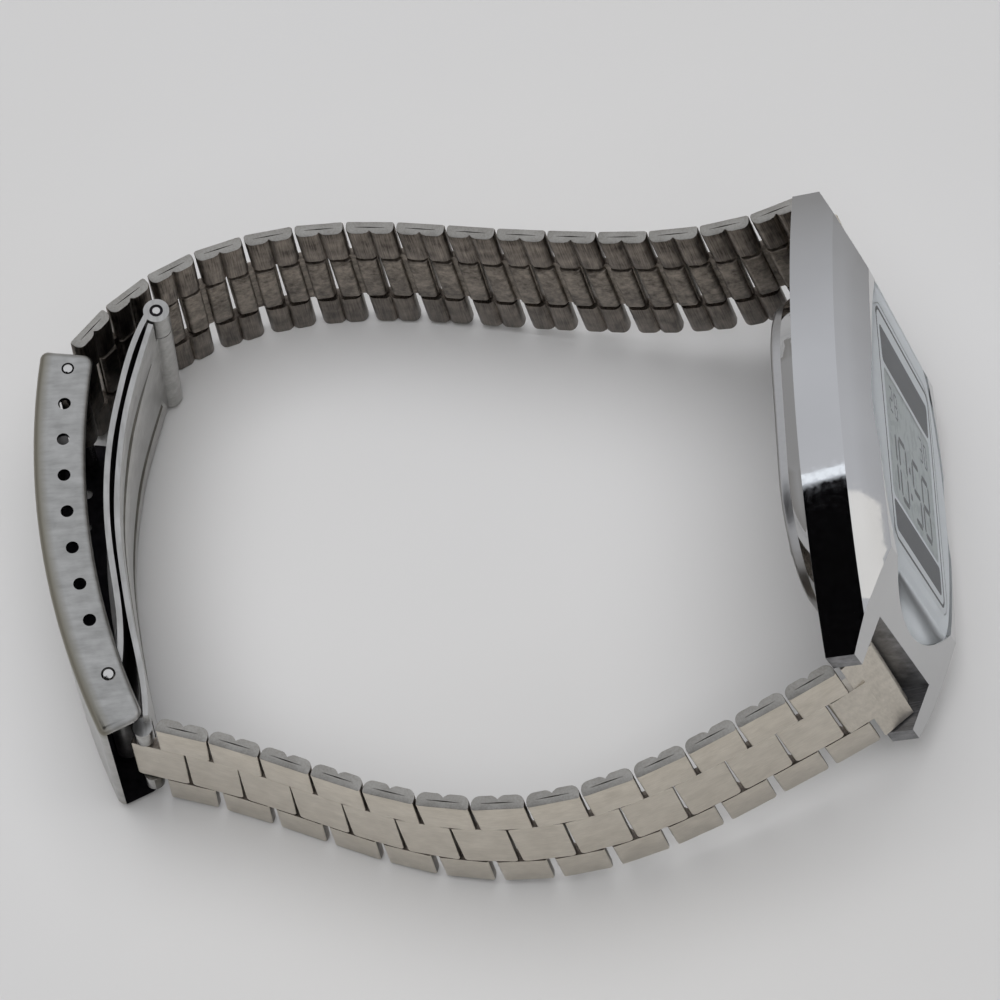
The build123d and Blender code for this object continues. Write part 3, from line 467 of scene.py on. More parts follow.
def brushed(name, dark, light, rough, stretch, relief):
    """Steel with fine streaks; stretch is the streaks' size along the link's x, y and z."""
    steel = bpy.data.materials.new(name)
    steel.use_nodes = True
    nodes, links = steel.node_tree.nodes, steel.node_tree.links
    shader = nodes["Principled BSDF"]
    shader.inputs["Metallic"].default_value = 1.0
    place = nodes.new("ShaderNodeAttribute")
    place.attribute_name = "in_link"
    scale = nodes.new("ShaderNodeMapping")
    scale.inputs["Scale"].default_value = [1 / size for size in stretch]
    streaks = nodes.new("ShaderNodeTexNoise")
    streaks.inputs["Scale"].default_value = 1.0
    streaks.inputs["Detail"].default_value = 4.0
    streaks.inputs["Roughness"].default_value = 0.65
    patches = nodes.new("ShaderNodeTexNoise")
    patches.inputs["Scale"].default_value = 700
    patches.inputs["Detail"].default_value = 2.0
    blend = nodes.new("ShaderNodeMath")
    blend.operation = "MULTIPLY_ADD"
    blend.inputs[1].default_value = 0.6
    ramp = nodes.new("ShaderNodeValToRGB")
    ramp.color_ramp.elements[0].position = 0.36
    ramp.color_ramp.elements[0].color = (*dark, 1)
    ramp.color_ramp.elements[1].position = 0.72
    ramp.color_ramp.elements[1].color = (*light, 1)
    gloss = nodes.new("ShaderNodeMapRange")
    gloss.inputs["To Min"].default_value = rough - 0.06
    gloss.inputs["To Max"].default_value = rough + 0.08
    bump = nodes.new("ShaderNodeBump")
    bump.inputs["Strength"].default_value = relief
    bump.inputs["Distance"].default_value = 0.00003
    half = nodes.new("ShaderNodeMath")
    half.operation = "MULTIPLY"
    half.inputs[1].default_value = 0.4
    links.new(place.outputs["Vector"], scale.inputs["Vector"])
    links.new(scale.outputs["Vector"], streaks.inputs["Vector"])
    links.new(place.outputs["Vector"], patches.inputs["Vector"])
    links.new(patches.outputs["Fac"], half.inputs[0])
    links.new(streaks.outputs["Fac"], blend.inputs[0])
    links.new(half.outputs["Value"], blend.inputs[2])
    links.new(blend.outputs["Value"], ramp.inputs["Fac"])
    links.new(ramp.outputs["Color"], shader.inputs["Base Color"])
    links.new(streaks.outputs["Fac"], gloss.inputs["Value"])
    links.new(gloss.outputs["Result"], shader.inputs["Roughness"])
    links.new(streaks.outputs["Fac"], bump.inputs["Height"])
    links.new(bump.outputs["Normal"], shader.inputs["Normal"])
    return steel


# The two inside finishes are far darker copies of the brushed steel: painted shade on the faces that
# point into the links.
link_finishes = [
    brushed("link_outside", (0.52, 0.475, 0.405), (0.70, 0.65, 0.565), 0.36,
            (0.0009, 0.0001, 0.0001), 0.25),
    brushed("link_inside_painted_shade", (0.060, 0.050, 0.042), (0.34, 0.295, 0.25), 0.40,
            (0.00012, 0.0002, 0.0030), 0.5),
    brushed("link_end", (0.30, 0.287, 0.262), (0.46, 0.445, 0.415), 0.46,
            (0.0002, 0.0002, 0.0002), 0.2),
    brushed("centre_inside_painted_shade", (0.085, 0.072, 0.060), (0.40, 0.35, 0.295), 0.43,
            (0.0005, 0.0004, 0.0005), 0.9),
]


def finish_faces(piece, inside):
    """Gives each face its finish by the way it points in the link's own frame."""
    for finish in link_finishes:
        piece.data.materials.append(finish)
    # Faces that point into the link get the dark inside finish, which is painted shade.
    for face in piece.data.polygons:
        if face.normal.y > 0.6:
            face.material_index = 0
        elif abs(face.normal.z) > 0.6 and abs(face.center.z) > 0.0085:
            face.material_index = 2
        else:
            face.material_index = inside
    spots = piece.data.attributes.new("in_link", "FLOAT_VECTOR", "POINT")
    for vertex, spot in zip(piece.data.vertices, spots.data):
        spot.vector = vertex.co


finish_faces(side_pair, 1)
finish_faces(centre, 3)


def copied(master, place, drift):
    """A copy of a master at its place, with its own mesh and a drift of its surface pattern."""
    piece = master.copy()
    piece.data = master.data.copy()
    scene.collection.objects.link(piece)
    for spot in piece.data.attributes["in_link"].data:
        spot.vector = Vector(spot.vector) + Vector((drift, 0, drift))
    piece.data.transform(place)
    piece.data.update()
    return piece


def between(first_pin, next_pin):
    """Frame midway between two pins, x from the first to the next."""
    start, stop = first_pin.translation, next_pin.translation
    across = (first_pin.col[2] + next_pin.col[2]).to_3d()
    return axes((start + stop) / 2, stop - start, across)


end_pin = lower_places[-1] @ Matrix.Translation((pitch + pin_place, 0, 0))
for strip, places in (("upper", upper_places), ("lower", lower_places)):
    for index, place in enumerate(places):
        node = strip + "_link_" + str(index + 1).zfill(2)
        drift = 0.011 * (index + 1) * (1 if strip == "upper" else -1)
        pieces = [copied(side_pair, place, drift)]
        first_pin = place @ Matrix.Translation((pitch - pin_place, 0, 0))
        if index + 1 < len(places):
            next_pin = places[index + 1] @ Matrix.Translation((pin_place, 0, 0))
            pieces.append(copied(centre, between(first_pin, next_pin), drift))
        elif strip == "lower":
            pieces.append(copied(centre, between(first_pin, end_pin), drift))
        else:
            bar_pin = clasp_place @ turned(180, 0, 0)
            eye = eye_piece((bar_pin.translation - first_pin.translation).length)
            finish_faces(eye, 3)
            pieces.append(copied(eye, between(first_pin, bar_pin), drift))
            bpy.data.objects.remove(eye)
        link = joined(pieces, node + "_steel")
        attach(link, node)
        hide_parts(node)
for master in (side_pair, centre):
    bpy.data.objects.remove(master)

# Case
# One block of steel, mirror polished outside, with two facets round the front and brushed
# strip notches, whose walls and the lug ends are also darkened as painted shade. Every edge is
# rounded a little by the polishing.
case_middle = -0.0006
case_front = 0.0089
slope_start = 0.0123
slope_fall = math.tan(math.radians(24.4))
notch_start = 0.0160
notch_half = 0.0094
lug_end = 0.0190
seat_half = 0.0112
seat_floor = 0.0055
glass_sink = 0.0007


def clean_copy(node, name):
    """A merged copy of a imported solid, ready for its edges to be rounded."""
    piece = frame["nodes"][node].copy()
    piece.data = frame["nodes"][node].data.copy()
    piece.name = name
    piece.parent = None
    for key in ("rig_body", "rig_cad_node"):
        if key in piece:
            del piece[key]
    piece.data.materials.clear()
    scene.collection.objects.link(piece)
    bpy.ops.object.select_all(action="DESELECT")
    piece.select_set(True)
    bpy.context.view_layer.objects.active = piece
    bpy.ops.object.mode_set(mode="EDIT")
    bpy.ops.mesh.select_all(action="SELECT")
    bpy.ops.mesh.remove_doubles(threshold=2e-6)
    bpy.ops.mesh.dissolve_limited(angle_limit=math.radians(0.6))
    bpy.ops.object.mode_set(mode="OBJECT")
    return piece


def polished(name, colour, rough, grain):
    """Polished steel with faint waves and fine scratches."""
    steel = bpy.data.materials.new(name)
    steel.use_nodes = True
    nodes, links = steel.node_tree.nodes, steel.node_tree.links
    shader = nodes["Principled BSDF"]
    shader.inputs["Metallic"].default_value = 1.0
    where = nodes.new("ShaderNodeTexCoord")
    waves = nodes.new("ShaderNodeTexNoise")
    waves.inputs["Scale"].default_value = 160
    waves.inputs["Detail"].default_value = 2
    scratches = nodes.new("ShaderNodeTexNoise")
    scratches.inputs["Scale"].default_value = grain
    scratches.inputs["Detail"].default_value = 6
    tint = nodes.new("ShaderNodeMix")
    tint.data_type = "RGBA"
    tint.inputs["A"].default_value = (*[0.90 * c for c in colour], 1)
    tint.inputs["B"].default_value = (*colour, 1)
    gloss = nodes.new("ShaderNodeMapRange")
    gloss.inputs["From Min"].default_value = 0.35
    gloss.inputs["From Max"].default_value = 0.75
    gloss.inputs["To Min"].default_value = rough
    gloss.inputs["To Max"].default_value = rough + 0.07
    bump = nodes.new("ShaderNodeBump")
    bump.inputs["Strength"].default_value = 0.06
    bump.inputs["Distance"].default_value = 0.0003
    links.new(where.outputs["Object"], waves.inputs["Vector"])
    links.new(where.outputs["Object"], scratches.inputs["Vector"])
    links.new(waves.outputs["Fac"], tint.inputs["Factor"])
    links.new(tint.outputs["Result"], shader.inputs["Base Color"])
    links.new(scratches.outputs["Fac"], gloss.inputs["Value"])
    links.new(gloss.outputs["Result"], shader.inputs["Roughness"])
    links.new(waves.outputs["Fac"], bump.inputs["Height"])
    links.new(bump.outputs["Normal"], shader.inputs["Normal"])
    return steel


def grained(name, dark, light, rough, stretch, relief):
    """Brushed steel whose streaks lie along the common axes; stretch is their size."""
    steel = brushed(name, dark, light, rough, stretch, relief)
    tree = steel.node_tree
    spot = next(n for n in tree.nodes if n.type == "ATTRIBUTE")
    where = tree.nodes.new("ShaderNodeTexCoord")
    for wire in list(spot.outputs["Vector"].links):
        tree.links.new(where.outputs["Object"], wire.to_socket)
    tree.nodes.remove(spot)
    return steel


chrome = polished("case_chrome", (0.53, 0.53, 0.53), 0.03, 2500)
notch_steel_and_shade = grained("notch_brushed_and_shade", (0.10, 0.10, 0.105), (0.34, 0.34, 0.35), 0.35,
                      (0.0020, 0.0001, 0.0010), 0.5)
seat_steel = grained("seat_satin", (0.40, 0.41, 0.42), (0.54, 0.55, 0.56), 0.40,
                     (0.0004, 0.0004, 0.0004), 0.2)
case = clean_copy("case_body", "case_polished")
softened(case, 0.00014, 3, 22)
for finish in (chrome, notch_steel_and_shade, seat_steel):
    case.data.materials.append(finish)
to_case = case_place.inverted()
for face in case.data.polygons:
    spot = to_case @ face.center
    way = to_case.to_3x3() @ face.normal
    along_strip = abs(spot.y - case_middle)
    roof = case_front - max(0, along_strip - slope_start) * slope_fall
    in_notch = along_strip > notch_start and abs(spot.z) < notch_half
    in_seat = along_strip < seat_half and abs(spot.z) < seat_half and spot.x > seat_floor
    # The notch walls and the lug ends get the dark brushed steel, darkened as painted shade.
    if in_notch and (abs(way.y) > 0.7 or abs(way.z) > 0.7) and abs(way.x) < 0.5:
        face.material_index = 1
    elif abs(way.y) > 0.7 and along_strip > lug_end:
        face.material_index = 1
    elif in_seat or way.x > 0.85 and spot.x < roof - glass_sink:
        face.material_index = 2
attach(case, "case")
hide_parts("case_body")

# End links
# A folded plate that fills the notch between the lugs, with the spring bar's tube under it and a
# tongue that takes the first link's pin. Warm brushed steel with slightly rounded edges.
end_steel = grained("end_link_brushed", (0.50, 0.46, 0.395), (0.68, 0.63, 0.55), 0.36,
                    (0.0009, 0.0001, 0.0009), 0.25)
for strip in ("upper", "lower"):
    piece = clean_copy("end_link_" + strip, "end_link_" + strip + "_steel")
    softened(piece, 0.00010, 3, 30)
    piece.data.materials.append(end_steel)
    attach(piece, strip + "_end")
    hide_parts("end_link_" + strip)

# Dial
# A thin plate painted silver under the crystal, with the window for the display. A dark line runs
# round it and two dark bands, printed on it, lie over and under the window. A silver mask printed
# on the underside of the crystal hides the seal round the dial.
dial_front = 0.00785
mask_front = 0.00004
opening_half = 0.0109
opening_side = 0.0110
ink_thick = 0.00003


def painted(name, colour, shade, rough, grain, shine):
    """Satin paint with fine grain; shine is how metallic it looks."""
    paint = bpy.data.materials.new(name)
    paint.use_nodes = True
    nodes, links = paint.node_tree.nodes, paint.node_tree.links
    shader = nodes["Principled BSDF"]
    shader.inputs["Metallic"].default_value = shine
    where = nodes.new("ShaderNodeTexCoord")
    flecks = nodes.new("ShaderNodeTexNoise")
    flecks.inputs["Scale"].default_value = grain
    flecks.inputs["Detail"].default_value = 4
    tint = nodes.new("ShaderNodeMix")
    tint.data_type = "RGBA"
    tint.inputs["A"].default_value = (*shade, 1)
    tint.inputs["B"].default_value = (*colour, 1)
    gloss = nodes.new("ShaderNodeMapRange")
    gloss.inputs["To Min"].default_value = rough
    gloss.inputs["To Max"].default_value = rough + 0.12
    bump = nodes.new("ShaderNodeBump")
    bump.inputs["Strength"].default_value = 0.15
    bump.inputs["Distance"].default_value = 0.00002
    links.new(where.outputs["Object"], flecks.inputs["Vector"])
    links.new(flecks.outputs["Fac"], tint.inputs["Factor"])
    links.new(tint.outputs["Result"], shader.inputs["Base Color"])
    links.new(flecks.outputs["Fac"], gloss.inputs["Value"])
    links.new(gloss.outputs["Result"], shader.inputs["Roughness"])
    links.new(flecks.outputs["Fac"], bump.inputs["Height"])
    links.new(bump.outputs["Normal"], shader.inputs["Normal"])
    return paint


def patch(name, depth, low, high, half_low, half_high, corner, thick):
    """A flat rounded patch in the case's frame, between two heights; its sides may lean."""
    middle = (depth + thick / 2, (low + high) / 2, 0)
    piece = block(name, middle, (thick, high - low, 2 * half_low))
    bpy.ops.object.mode_set(mode="EDIT")
    pick("VERT", lambda m, v: m.y > middle[1])
    bpy.ops.transform.resize(value=(1, 1, half_high / half_low), center_override=middle)
    pick("EDGE", lambda m, e: along(e, Vector((1, 0, 0))))
    bpy.ops.mesh.bevel(offset=corner, segments=8, affect="EDGES")
    bpy.ops.object.mode_set(mode="OBJECT")
    return piece


def in_case(piece, finish):
    """Takes a piece from the case's frame to its place and gives it its finish."""
    piece.data.transform(case_place)
    piece.data.update()
    piece.data.materials.append(finish)
    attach(piece, "case")
    return piece


silver = painted("dial_silver", (0.66, 0.68, 0.70), (0.58, 0.60, 0.62), 0.34, 6000, 0.35)
dark_ink = painted("dial_dark_ink", (0.050, 0.053, 0.060), (0.034, 0.036, 0.042), 0.40, 5000, 0.0)
line_ink = painted("dial_line_ink", (0.020, 0.021, 0.024), (0.014, 0.015, 0.018), 0.40, 5000, 0.0)
plate = clean_copy("dial_plate", "dial_silver_plate")
softened(plate, 0.00004, 2, 40)
plate.data.materials.append(silver)
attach(plate, "case")
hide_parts("dial_plate")
mask = clean_copy("crystal", "crystal_mask")
mask.data.transform(to_case)
bpy.ops.object.mode_set(mode="EDIT")
pick("FACE", lambda m, f: f.normal.x > -0.8)
bpy.ops.mesh.delete(type="FACE")
bpy.ops.mesh.select_all(action="SELECT")
bpy.ops.transform.translate(value=(mask_front, 0, 0))
bpy.ops.mesh.extrude_region_move(TRANSFORM_OT_translate={"value": (-ink_thick, 0, 0)})
bpy.ops.mesh.select_all(action="SELECT")
bpy.ops.mesh.normals_make_consistent(inside=False)
bpy.ops.object.mode_set(mode="OBJECT")
low_edge, high_edge = case_middle - opening_half, case_middle + opening_half
opening = patch("opening", 0.0060, low_edge, high_edge, opening_side, opening_side, 0.0025, 0.0030)
in_case(cut_out(mask, opening), silver)
ring = patch("dial_line", dial_front, -0.0109, 0.0098, 0.0098, 0.0104, 0.0013, ink_thick)
hole = patch("inside", dial_front - ink_thick, -0.01062, 0.00950, 0.0095, 0.0101, 0.0011,
             3 * ink_thick)
in_case(cut_out(ring, hole), line_ink)
band_spans = (("upper", 0.0050, 0.0083, 0.0090, 0.0093), ("lower", -0.0099, -0.0072, 0.0087, 0.0089))
for name, low, high, half_low, half_high in band_spans:
    band = patch("dial_band_" + name, dial_front, low, high, half_low, half_high, 0.0005, ink_thick)
    in_case(band, dark_ink)
frame_line = patch("window_line", dial_front, -0.00705, 0.00472, 0.00905, 0.00905, 0.0008, ink_thick)
hole = patch("inside", dial_front - ink_thick, -0.0069, 0.00457, 0.0089, 0.0089, 0.0007,
             3 * ink_thick)
in_case(cut_out(frame_line, hole), silver)

# Display
# The glass cell of the liquid crystal display behind the window, pale grey, with plain figures
# made of slim six-sided bars: the hours and minutes large, the day and the seconds small.
figure_front = 0.00741
bar_width = 0.00052
display_grey = painted("display_grey", (0.36, 0.385, 0.385), (0.31, 0.335, 0.335), 0.22, 900, 0.0)
figure_ink = painted("figure_grey", (0.060, 0.065, 0.068), (0.045, 0.050, 0.052), 0.40, 3000, 0.0)
bars_lit = {"0": "abcdef", "1": "bc", "2": "abged", "3": "abgcd", "5": "afgcd", "8": "abcdefg"}
stroke = block("bar", (figure_front, 0, 0), (0.00002, 0.00244, bar_width))
bpy.ops.object.mode_set(mode="EDIT")
pick("EDGE", lambda m, e: along(e, Vector((1, 0, 0))))
bpy.ops.mesh.bevel(offset=bar_width * 0.48, segments=1, affect="EDGES")
bpy.ops.object.mode_set(mode="OBJECT")


def figure(value, height, middle, left):
    """The lit bars of one figure; left is its centre's place toward nine o'clock."""
    size = height / 0.0056
    half_wide, half_high = 0.0013 * size, 0.0027 * size
    spots = {
        "a": (half_high, 0, 90), "g": (0, 0, 90), "d": (-half_high, 0, 90),
        "b": (half_high / 2, -half_wide, 0), "c": (-half_high / 2, -half_wide, 0),
        "f": (half_high / 2, half_wide, 0), "e": (-half_high / 2, half_wide, 0),
    }
    bars = []
    for letter in bars_lit[value]:
        rise, side, turn = spots[letter]
        one = stroke.copy()
        one.data = stroke.data.copy()
        scene.collection.objects.link(one)
        spot = Matrix.Translation((0, middle + rise, left + side))
        lean = Matrix.Rotation(math.radians(turn), 4, "X")
        one.data.transform(spot @ lean @ Matrix.Diagonal((1, size, size, 1)))
        bars.append(one)
    return bars


bars = []
for value, left in (("1", 0.0072), ("0", 0.0034), ("5", -0.0018), ("8", -0.0056)):
    bars += figure(value, 0.0056, -0.0030, left)
for value, left in (("2", 0.0064), ("8", 0.0046), ("3", -0.0052), ("0", -0.0070)):
    bars += figure(value, 0.0022, 0.0025, left)
for rise in (-0.0042, -0.0018):
    bars.append(patch("dot", figure_front, rise - 0.0003, rise + 0.0003, 0.0003, 0.0003, 0.0001,
                      0.00002))
    bars[-1].data.transform(Matrix.Translation((0, 0, 0.0008)))
bpy.data.objects.remove(stroke)
in_case(joined(bars, "display_figures"), figure_ink)
cell = clean_copy("display_glass", "display_cell")
softened(cell, 0.00006, 2, 40)
cell.data.materials.append(display_grey)
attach(cell, "case")
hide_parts("display_glass")

# Crystal
# A mineral glass with sloped ends that lies flush in the front of the case, faintly smeared. Its
# coating calms the mirror image. Its underside is bonded to what lies under it and shows nothing.
glass_bend = 1.42
coating_share = 0.60
glass = bpy.data.materials.new("crystal_glass")
glass.use_nodes = True
nodes, links = glass.node_tree.nodes, glass.node_tree.links
shader = nodes["Principled BSDF"]
shader.inputs["Base Color"].default_value = (0.93, 0.95, 0.96, 1)
shader.inputs["Transmission Weight"].default_value = 1.0
shader.inputs["IOR"].default_value = glass_bend
where = nodes.new("ShaderNodeTexCoord")
smears = nodes.new("ShaderNodeTexNoise")
smears.inputs["Scale"].default_value = 350
smears.inputs["Detail"].default_value = 5
gloss = nodes.new("ShaderNodeMapRange")
gloss.inputs["From Min"].default_value = 0.5
gloss.inputs["From Max"].default_value = 0.8
gloss.inputs["To Min"].default_value = 0.0
gloss.inputs["To Max"].default_value = 0.06
coated = nodes.new("ShaderNodeBsdfRefraction")
coated.inputs["Color"].default_value = (0.96, 0.975, 0.98, 1)
coated.inputs["IOR"].default_value = glass_bend
calm = nodes.new("ShaderNodeMixShader")
calm.inputs["Fac"].default_value = coating_share
ray = nodes.new("ShaderNodeLightPath")
clear = nodes.new("ShaderNodeBsdfTransparent")
through = nodes.new("ShaderNodeMixShader")
links.new(where.outputs["Object"], smears.inputs["Vector"])
links.new(smears.outputs["Fac"], gloss.inputs["Value"])
links.new(gloss.outputs["Result"], shader.inputs["Roughness"])
links.new(gloss.outputs["Result"], coated.inputs["Roughness"])
links.new(shader.outputs["BSDF"], calm.inputs[1])
links.new(coated.outputs["BSDF"], calm.inputs[2])
links.new(ray.outputs["Is Shadow Ray"], through.inputs["Fac"])
links.new(calm.outputs["Shader"], through.inputs[1])
links.new(clear.outputs["BSDF"], through.inputs[2])
links.new(through.outputs["Shader"], nodes["Material Output"].inputs["Surface"])
bonded = bpy.data.materials.new("crystal_underside")
bonded.use_nodes = True
nodes, links = bonded.node_tree.nodes, bonded.node_tree.links
shader = nodes["Principled BSDF"]
shader.inputs["Base Color"].default_value = (0.93, 0.95, 0.96, 1)
shader.inputs["Alpha"].default_value = 0.0
where = nodes.new("ShaderNodeTexCoord")
smears = nodes.new("ShaderNodeTexNoise")
smears.inputs["Scale"].default_value = 350
links.new(where.outputs["Object"], smears.inputs["Vector"])
links.new(smears.outputs["Fac"], shader.inputs["Roughness"])
crystal = clean_copy("crystal", "crystal_glass")
softened(crystal, 0.00010, 2, 20)
crystal.data.materials.append(glass)
crystal.data.materials.append(bonded)
for face in crystal.data.polygons:
    if (to_case.to_3x3() @ face.normal).x < -0.8:
        face.material_index = 1
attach(crystal, "case")
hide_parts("crystal")

# Clasp
# A folding clasp: an outer cover bent from sheet with eight round holes for the spring bar in each
# flange, and two blades that fold up inside it. All of it is brushed steel.
circle_radius = 0.0635
hole_step = 0.0034
cover_inside = 0.0092
web_end = 0.0078
flange_outside = 0.0093
# Where the painted shade along the flanges' outer edge starts, where it is full, and its colour.
edge_shade_start = circle_radius + 0.0014
edge_shade_full = circle_radius + 0.0022
edge_shade_colour = (0.235, 0.220, 0.180, 1)
grooves = ((-3.9, 0.0043), (-4.9, -0.0055))
groove_half = 0.0011
groove_tool = 0.00155
groove_sink = 1.20
end_share = 0.76
blade_half_thick = 0.25
blade_half = 0.0083
blade_back = 0.0062
blade_line = [(-3.2, 5.98), (3.2, 5.2), (8.35, 4.65), (14.4, 4.05), (20.3, 3.65), (25.0, 3.2),
              (28.0, 2.85)]
to_clasp = clasp_place.inverted()


def on_circle(reach, inward):
    """Point of the clasp's plane at a length along the circle of its holes."""
    angle = reach / circle_radius
    rest = circle_radius - inward
    return (rest * math.sin(angle), circle_radius - rest * math.cos(angle))


flange_steel = grained("flange_brushed", (0.30, 0.298, 0.285), (0.47, 0.465, 0.450), 0.30,
                       (0.0030, 0.0006, 0.0012), 0.25)
# Near-black steel stands for shade: it is painted shade inside the cover, in its holes, on the
# blades' sides toward the cover and round the fold pin's heads.
clasp_shade_steel = grained("clasp_inside_painted_shade", (0.012, 0.011, 0.013), (0.040, 0.036, 0.040), 0.42,
                       (0.0008, 0.0008, 0.0008), 0.3)
blade_steel = grained("blade_brushed", (0.34, 0.335, 0.32), (0.52, 0.515, 0.50), 0.30,
                      (0.0004, 0.0040, 0.0004), 0.3)
# The grooves' steel is darkened as painted shade.
groove_shade_steel = grained("groove_brushed_shade", (0.07, 0.064, 0.052), (0.17, 0.16, 0.135), 0.38,
                       (0.0004, 0.0040, 0.0004), 0.3)
pin_steel = polished("pin_steel", (0.62, 0.61, 0.59), 0.16, 4000)

# Painted shade band of the cover
# The outer edge of each flange is painted darker and greener, as shade along that edge. The band
# follows the circle of the holes: it reads, in the clasp's own frame, how far a spot is from the
# circle's middle.
nodes, links = flange_steel.node_tree.nodes, flange_steel.node_tree.links
where = next(n for n in nodes if n.type == "TEX_COORD")
lay = nodes.new("ShaderNodeMapping")
lay.inputs["Rotation"].default_value = to_clasp.to_euler()
lay.inputs["Location"].default_value = to_clasp.translation - Vector((0, circle_radius, 0))
level = nodes.new("ShaderNodeVectorMath")
level.operation = "MULTIPLY"
level.inputs[1].default_value = (1, 1, 0)
reach = nodes.new("ShaderNodeVectorMath")
reach.operation = "LENGTH"
edge = nodes.new("ShaderNodeMapRange")
edge.inputs["From Min"].default_value = edge_shade_start
edge.inputs["From Max"].default_value = edge_shade_full
edge_shade = nodes.new("ShaderNodeMix")
edge_shade.data_type = "RGBA"
edge_shade.inputs["B"].default_value = edge_shade_colour
links.new(where.outputs["Object"], lay.inputs["Vector"])
links.new(lay.outputs["Vector"], level.inputs[0])
links.new(level.outputs["Vector"], reach.inputs[0])
links.new(reach.outputs["Value"], edge.inputs["Value"])
side = nodes.new("ShaderNodeSeparateXYZ")
far_side = nodes.new("ShaderNodeMath")
far_side.operation = "ABSOLUTE"
rim = nodes.new("ShaderNodeMapRange")
rim.inputs["From Min"].default_value = web_end
rim.inputs["From Max"].default_value = flange_outside
both = nodes.new("ShaderNodeMath")
both.operation = "MULTIPLY"
links.new(lay.outputs["Vector"], side.inputs["Vector"])
links.new(side.outputs["Z"], far_side.inputs[0])
links.new(far_side.outputs["Value"], rim.inputs["Value"])
links.new(edge.outputs["Result"], both.inputs[0])
links.new(rim.outputs["Result"], both.inputs[1])
links.new(both.outputs["Value"], edge_shade.inputs["Factor"])
colour = next(n for n in nodes if n.type == "VALTORGB")
links.new(colour.outputs["Color"], edge_shade.inputs["A"])
links.new(edge_shade.outputs["Result"], nodes["Principled BSDF"].inputs["Base Color"])

# Cover
# The channel of sheet steel, with painted shade inside it, on the lower flange's rim and on the
# walls of its round holes; the bevels round the holes get the brighter pin steel as a painted
# highlight.
hole_middles = [on_circle(hole_step * index, 0) for index in range(8)]
cover = clean_copy("clasp_cover", "clasp_cover_steel")
cover.data.transform(to_clasp)
softened(cover, 0.00009, 2, 30)
for finish in (flange_steel, clasp_shade_steel, pin_steel):
    cover.data.materials.append(finish)
for face in cover.data.polygons:
    spot, way = face.center, face.normal
    to_hole = min(math.hypot(spot.x - x, spot.y - y) for x, y in hole_middles)
    faces_inward = way.y > 0.5 or way.z * spot.z < -0.5 * abs(spot.z)
    inside = abs(spot.z) <= cover_inside + 0.00005 and faces_inward
    # The lower flange's rim lies in shadow, so it gets painted shade.
    shaded_lower_rim = spot.z < -0.0090 and way.y > 0.3
    hole_wall = to_hole < 0.00060 and abs(way.z) < 0.3
    if inside or shaded_lower_rim or hole_wall:
        face.material_index = 1
    # The holes' bevels get the brighter polished pin steel, a painted highlight.
    elif to_hole < 0.00072 and 0.3 <= abs(way.z) < 0.98:
        face.material_index = 2
cover.data.transform(clasp_place)
cover.data.update()
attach(cover, "clasp_cover")
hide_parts("clasp_cover")

# Blades
# Two curved strips of sheet steel with rolled ends, with painted shade on the side toward the
# cover. Two long grooves that run out at both ends are pressed into the inner one, and their
# faces are painted dark as shade.
for node, body in (("clasp_blade_a", "clasp_blade_a"), ("clasp_blade_b", "clasp_blade_b")):
    blade = clean_copy(node, node + "_steel")
    blade.data.transform(to_clasp)
    softened(blade, 0.00007, 2, 35)
    if node == "clasp_blade_b":
        for first, side in grooves:
            points = [(first, 6.06)] + blade_line[1:]
            bpy.ops.object.select_all(action="DESELECT")
            bpy.ops.curve.primitive_nurbs_path_add()
            path = bpy.context.object
            path.data.splines.clear()
            run = path.data.splines.new("NURBS")
            run.points.add(len(points) - 1)
            for index, (reach, inward) in enumerate(points):
                x, y = on_circle(reach / 1000, (inward + blade_half_thick + groove_sink) / 1000)
                run.points[index].co = (x, y, side, 1)
                run.points[index].radius = end_share if index in (0, len(points) - 1) else 1.0
            run.order_u = 3
            run.use_endpoint_u = True
            path.data.bevel_depth = groove_tool
            path.data.bevel_resolution = 6
            path.data.use_fill_caps = True
            bpy.ops.object.convert(target="MESH")
            tool = bpy.context.object
            bpy.ops.object.transform_apply(location=True, rotation=True, scale=True)
            cut_out(blade, tool)
        bpy.ops.object.shade_smooth_by_angle(angle=math.radians(40))
    blade.data.materials.append(blade_steel)
    blade.data.materials.append(clasp_shade_steel)
    blade.data.materials.append(groove_shade_steel)
    for face in blade.data.polygons:
        spot, way = face.center, face.normal
        sag = spot.x * spot.x / (2 * circle_radius)
        in_groove = any(abs(spot.z - side) < groove_half for _, side in grooves)
        # Faces toward the cover and the groove faces get painted shade.
        if way.y < -0.6 and spot.y < blade_back + sag and abs(spot.z) < blade_half:
            face.material_index = 1
        elif node == "clasp_blade_b" and way.y > 0.2 and in_groove:
            face.material_index = 2
    blade.data.transform(clasp_place)
    blade.data.update()
    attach(blade, body)
    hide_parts(node)

# Clasp pins
# A spring bar whose thin tips stand in the first pair of holes, the rivet that joins the cover and
# the first blade, and the pin of the fold between the blades, with painted shade on the ring round
# its thin heads. They are turned steel with rounded ends.
first_hinge = (*on_circle(0.0289, 0), 0)
fold_hinge = (*on_circle(-0.0076, 0.0065), 0)
head_start = 0.00847
spring_bar = joined([
    rod("bar", (0, 0, 0), 0.00075, 0.0183, 0.00012),
    rod("tips", (0, 0, 0), 0.00042, 0.01944, 0.00010),
], "clasp_bar_steel")
rivet = joined([
    rod("rivet", first_hinge, 0.00045, 0.01944, 0.00010),
    rod("core", first_hinge, 0.00058, 0.0180, 0.00010),
], "clasp_rivet_steel")
fold = joined([
    rod("fold", fold_hinge, 0.00060, 0.0169, 0.00012),
    rod("head", fold_hinge, 0.00036, 0.01704, 0.00006),
], "clasp_fold_steel")
pin_rides = ((spring_bar, "clasp_cover", "clasp_bar"), (rivet, "clasp_cover", "clasp_first_pin"),
             (fold, "clasp_blade_a", "clasp_fold_pin"))
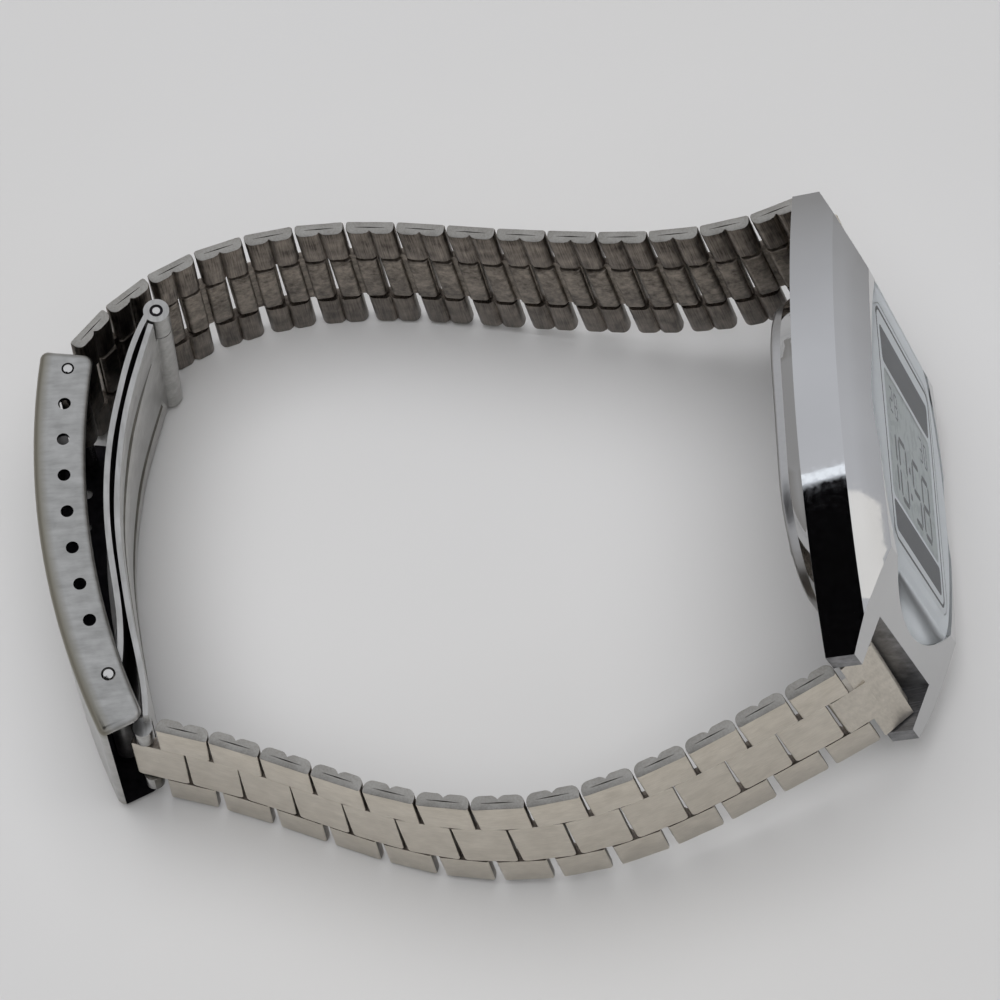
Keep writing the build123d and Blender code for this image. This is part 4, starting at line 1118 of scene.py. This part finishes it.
for piece, body, node in pin_rides:
    bpy.ops.object.select_all(action="DESELECT")
    piece.select_set(True)
    bpy.context.view_layer.objects.active = piece
    bpy.ops.object.shade_smooth_by_angle(angle=math.radians(40))
    for face in piece.data.polygons:
        # The ring round the fold pin's heads gets painted shade.
        if piece is fold and abs(face.normal.z) > 0.3 and abs(face.center.z) < head_start:
            face.material_index = 1
    piece.data.transform(clasp_place)
    piece.data.update()
    piece.data.materials.append(pin_steel)
    piece.data.materials.append(clasp_shade_steel)
    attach(piece, body)
    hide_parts(node)

# Back of the case
# The back plate with its four slotted screws and its sealing ring, satin steel and black rubber.
satin = painted("back_satin", (0.46, 0.455, 0.45), (0.38, 0.375, 0.37), 0.26, 2600, 1.0)
rubber = painted("seal_rubber", (0.030, 0.030, 0.032), (0.018, 0.018, 0.020), 0.62, 4200, 0.0)
for node, width in (("case_back", 0.00009), ("back_screws", 0.00004)):
    piece = clean_copy(node, node + "_satin")
    softened(piece, width, 2, 35)
    piece.data.materials.append(satin)
    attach(piece, "case")
    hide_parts(node)


def dressed(node, finish):
    """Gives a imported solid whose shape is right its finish."""
    piece = frame["nodes"][node]
    if not piece.material_slots:
        piece.data.materials.append(finish)
    for place in piece.material_slots:
        place.material = finish


dressed("back_gasket", rubber)
dressed("crystal_gasket", rubber)

# Push buttons and spring bars
# Turned steel: the buttons polished, the spring bars and the last pin of the strip satin.
button_steel = polished("button_steel", (0.74, 0.75, 0.77), 0.08, 3000)
for node, body in (("button_1", "button_upper"), ("button_2", "button_lower")):
    piece = clean_copy(node, node + "_polished")
    softened(piece, 0.00010, 2, 35)
    piece.data.materials.append(button_steel)
    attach(piece, body)
    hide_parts(node)
for node in ("lug_bar_upper", "lug_bar_lower", "clasp_end_pin"):
    dressed(node, pin_steel)

# Movement
# The digital module: a moulded frame, a green board, rubber connector strips with fine conducting
# layers, spring contacts, a lamp, and a button cell under its clip.
for node, *look in (
    ("module_frame", "frame_plastic", (0.045, 0.045, 0.047), (0.030, 0.030, 0.032), 0.48, 3800, 0),
    ("circuit_board", "board_green", (0.030, 0.185, 0.080), (0.016, 0.105, 0.045), 0.34, 1400, 0),
    ("lamp", "lamp_white", (0.80, 0.78, 0.70), (0.66, 0.64, 0.56), 0.18, 2000, 0),
    ("battery", "cell_steel", (0.66, 0.65, 0.62), (0.52, 0.51, 0.49), 0.24, 2400, 1),
    ("battery_clip", "clip_steel", (0.60, 0.59, 0.56), (0.48, 0.47, 0.45), 0.28, 3200, 1),
):
    dressed(node, painted(*look))
spring_brass = painted("spring_brass", (0.72, 0.58, 0.28), (0.58, 0.45, 0.20), 0.25, 3000, 1.0)
dressed("side_contacts", spring_brass)
dressed("buzzer_contact", spring_brass)
layered = painted("layered_rubber", (0.34, 0.30, 0.28), (0.030, 0.028, 0.028), 0.55, 900, 0.0)
layers = layered.node_tree.nodes.new("ShaderNodeMapping")
layers.inputs["Scale"].default_value = (0.2, 0.2, 14)
where = next(n for n in layered.node_tree.nodes if n.type == "TEX_COORD")
flecks = next(n for n in layered.node_tree.nodes if n.type == "TEX_NOISE")
layered.node_tree.links.new(where.outputs["Object"], layers.inputs["Vector"])
layered.node_tree.links.new(layers.outputs["Vector"], flecks.inputs["Vector"])
dressed("connector_strips", layered)

bpy.ops.object.select_all(action="DESELECT")
low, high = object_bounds()
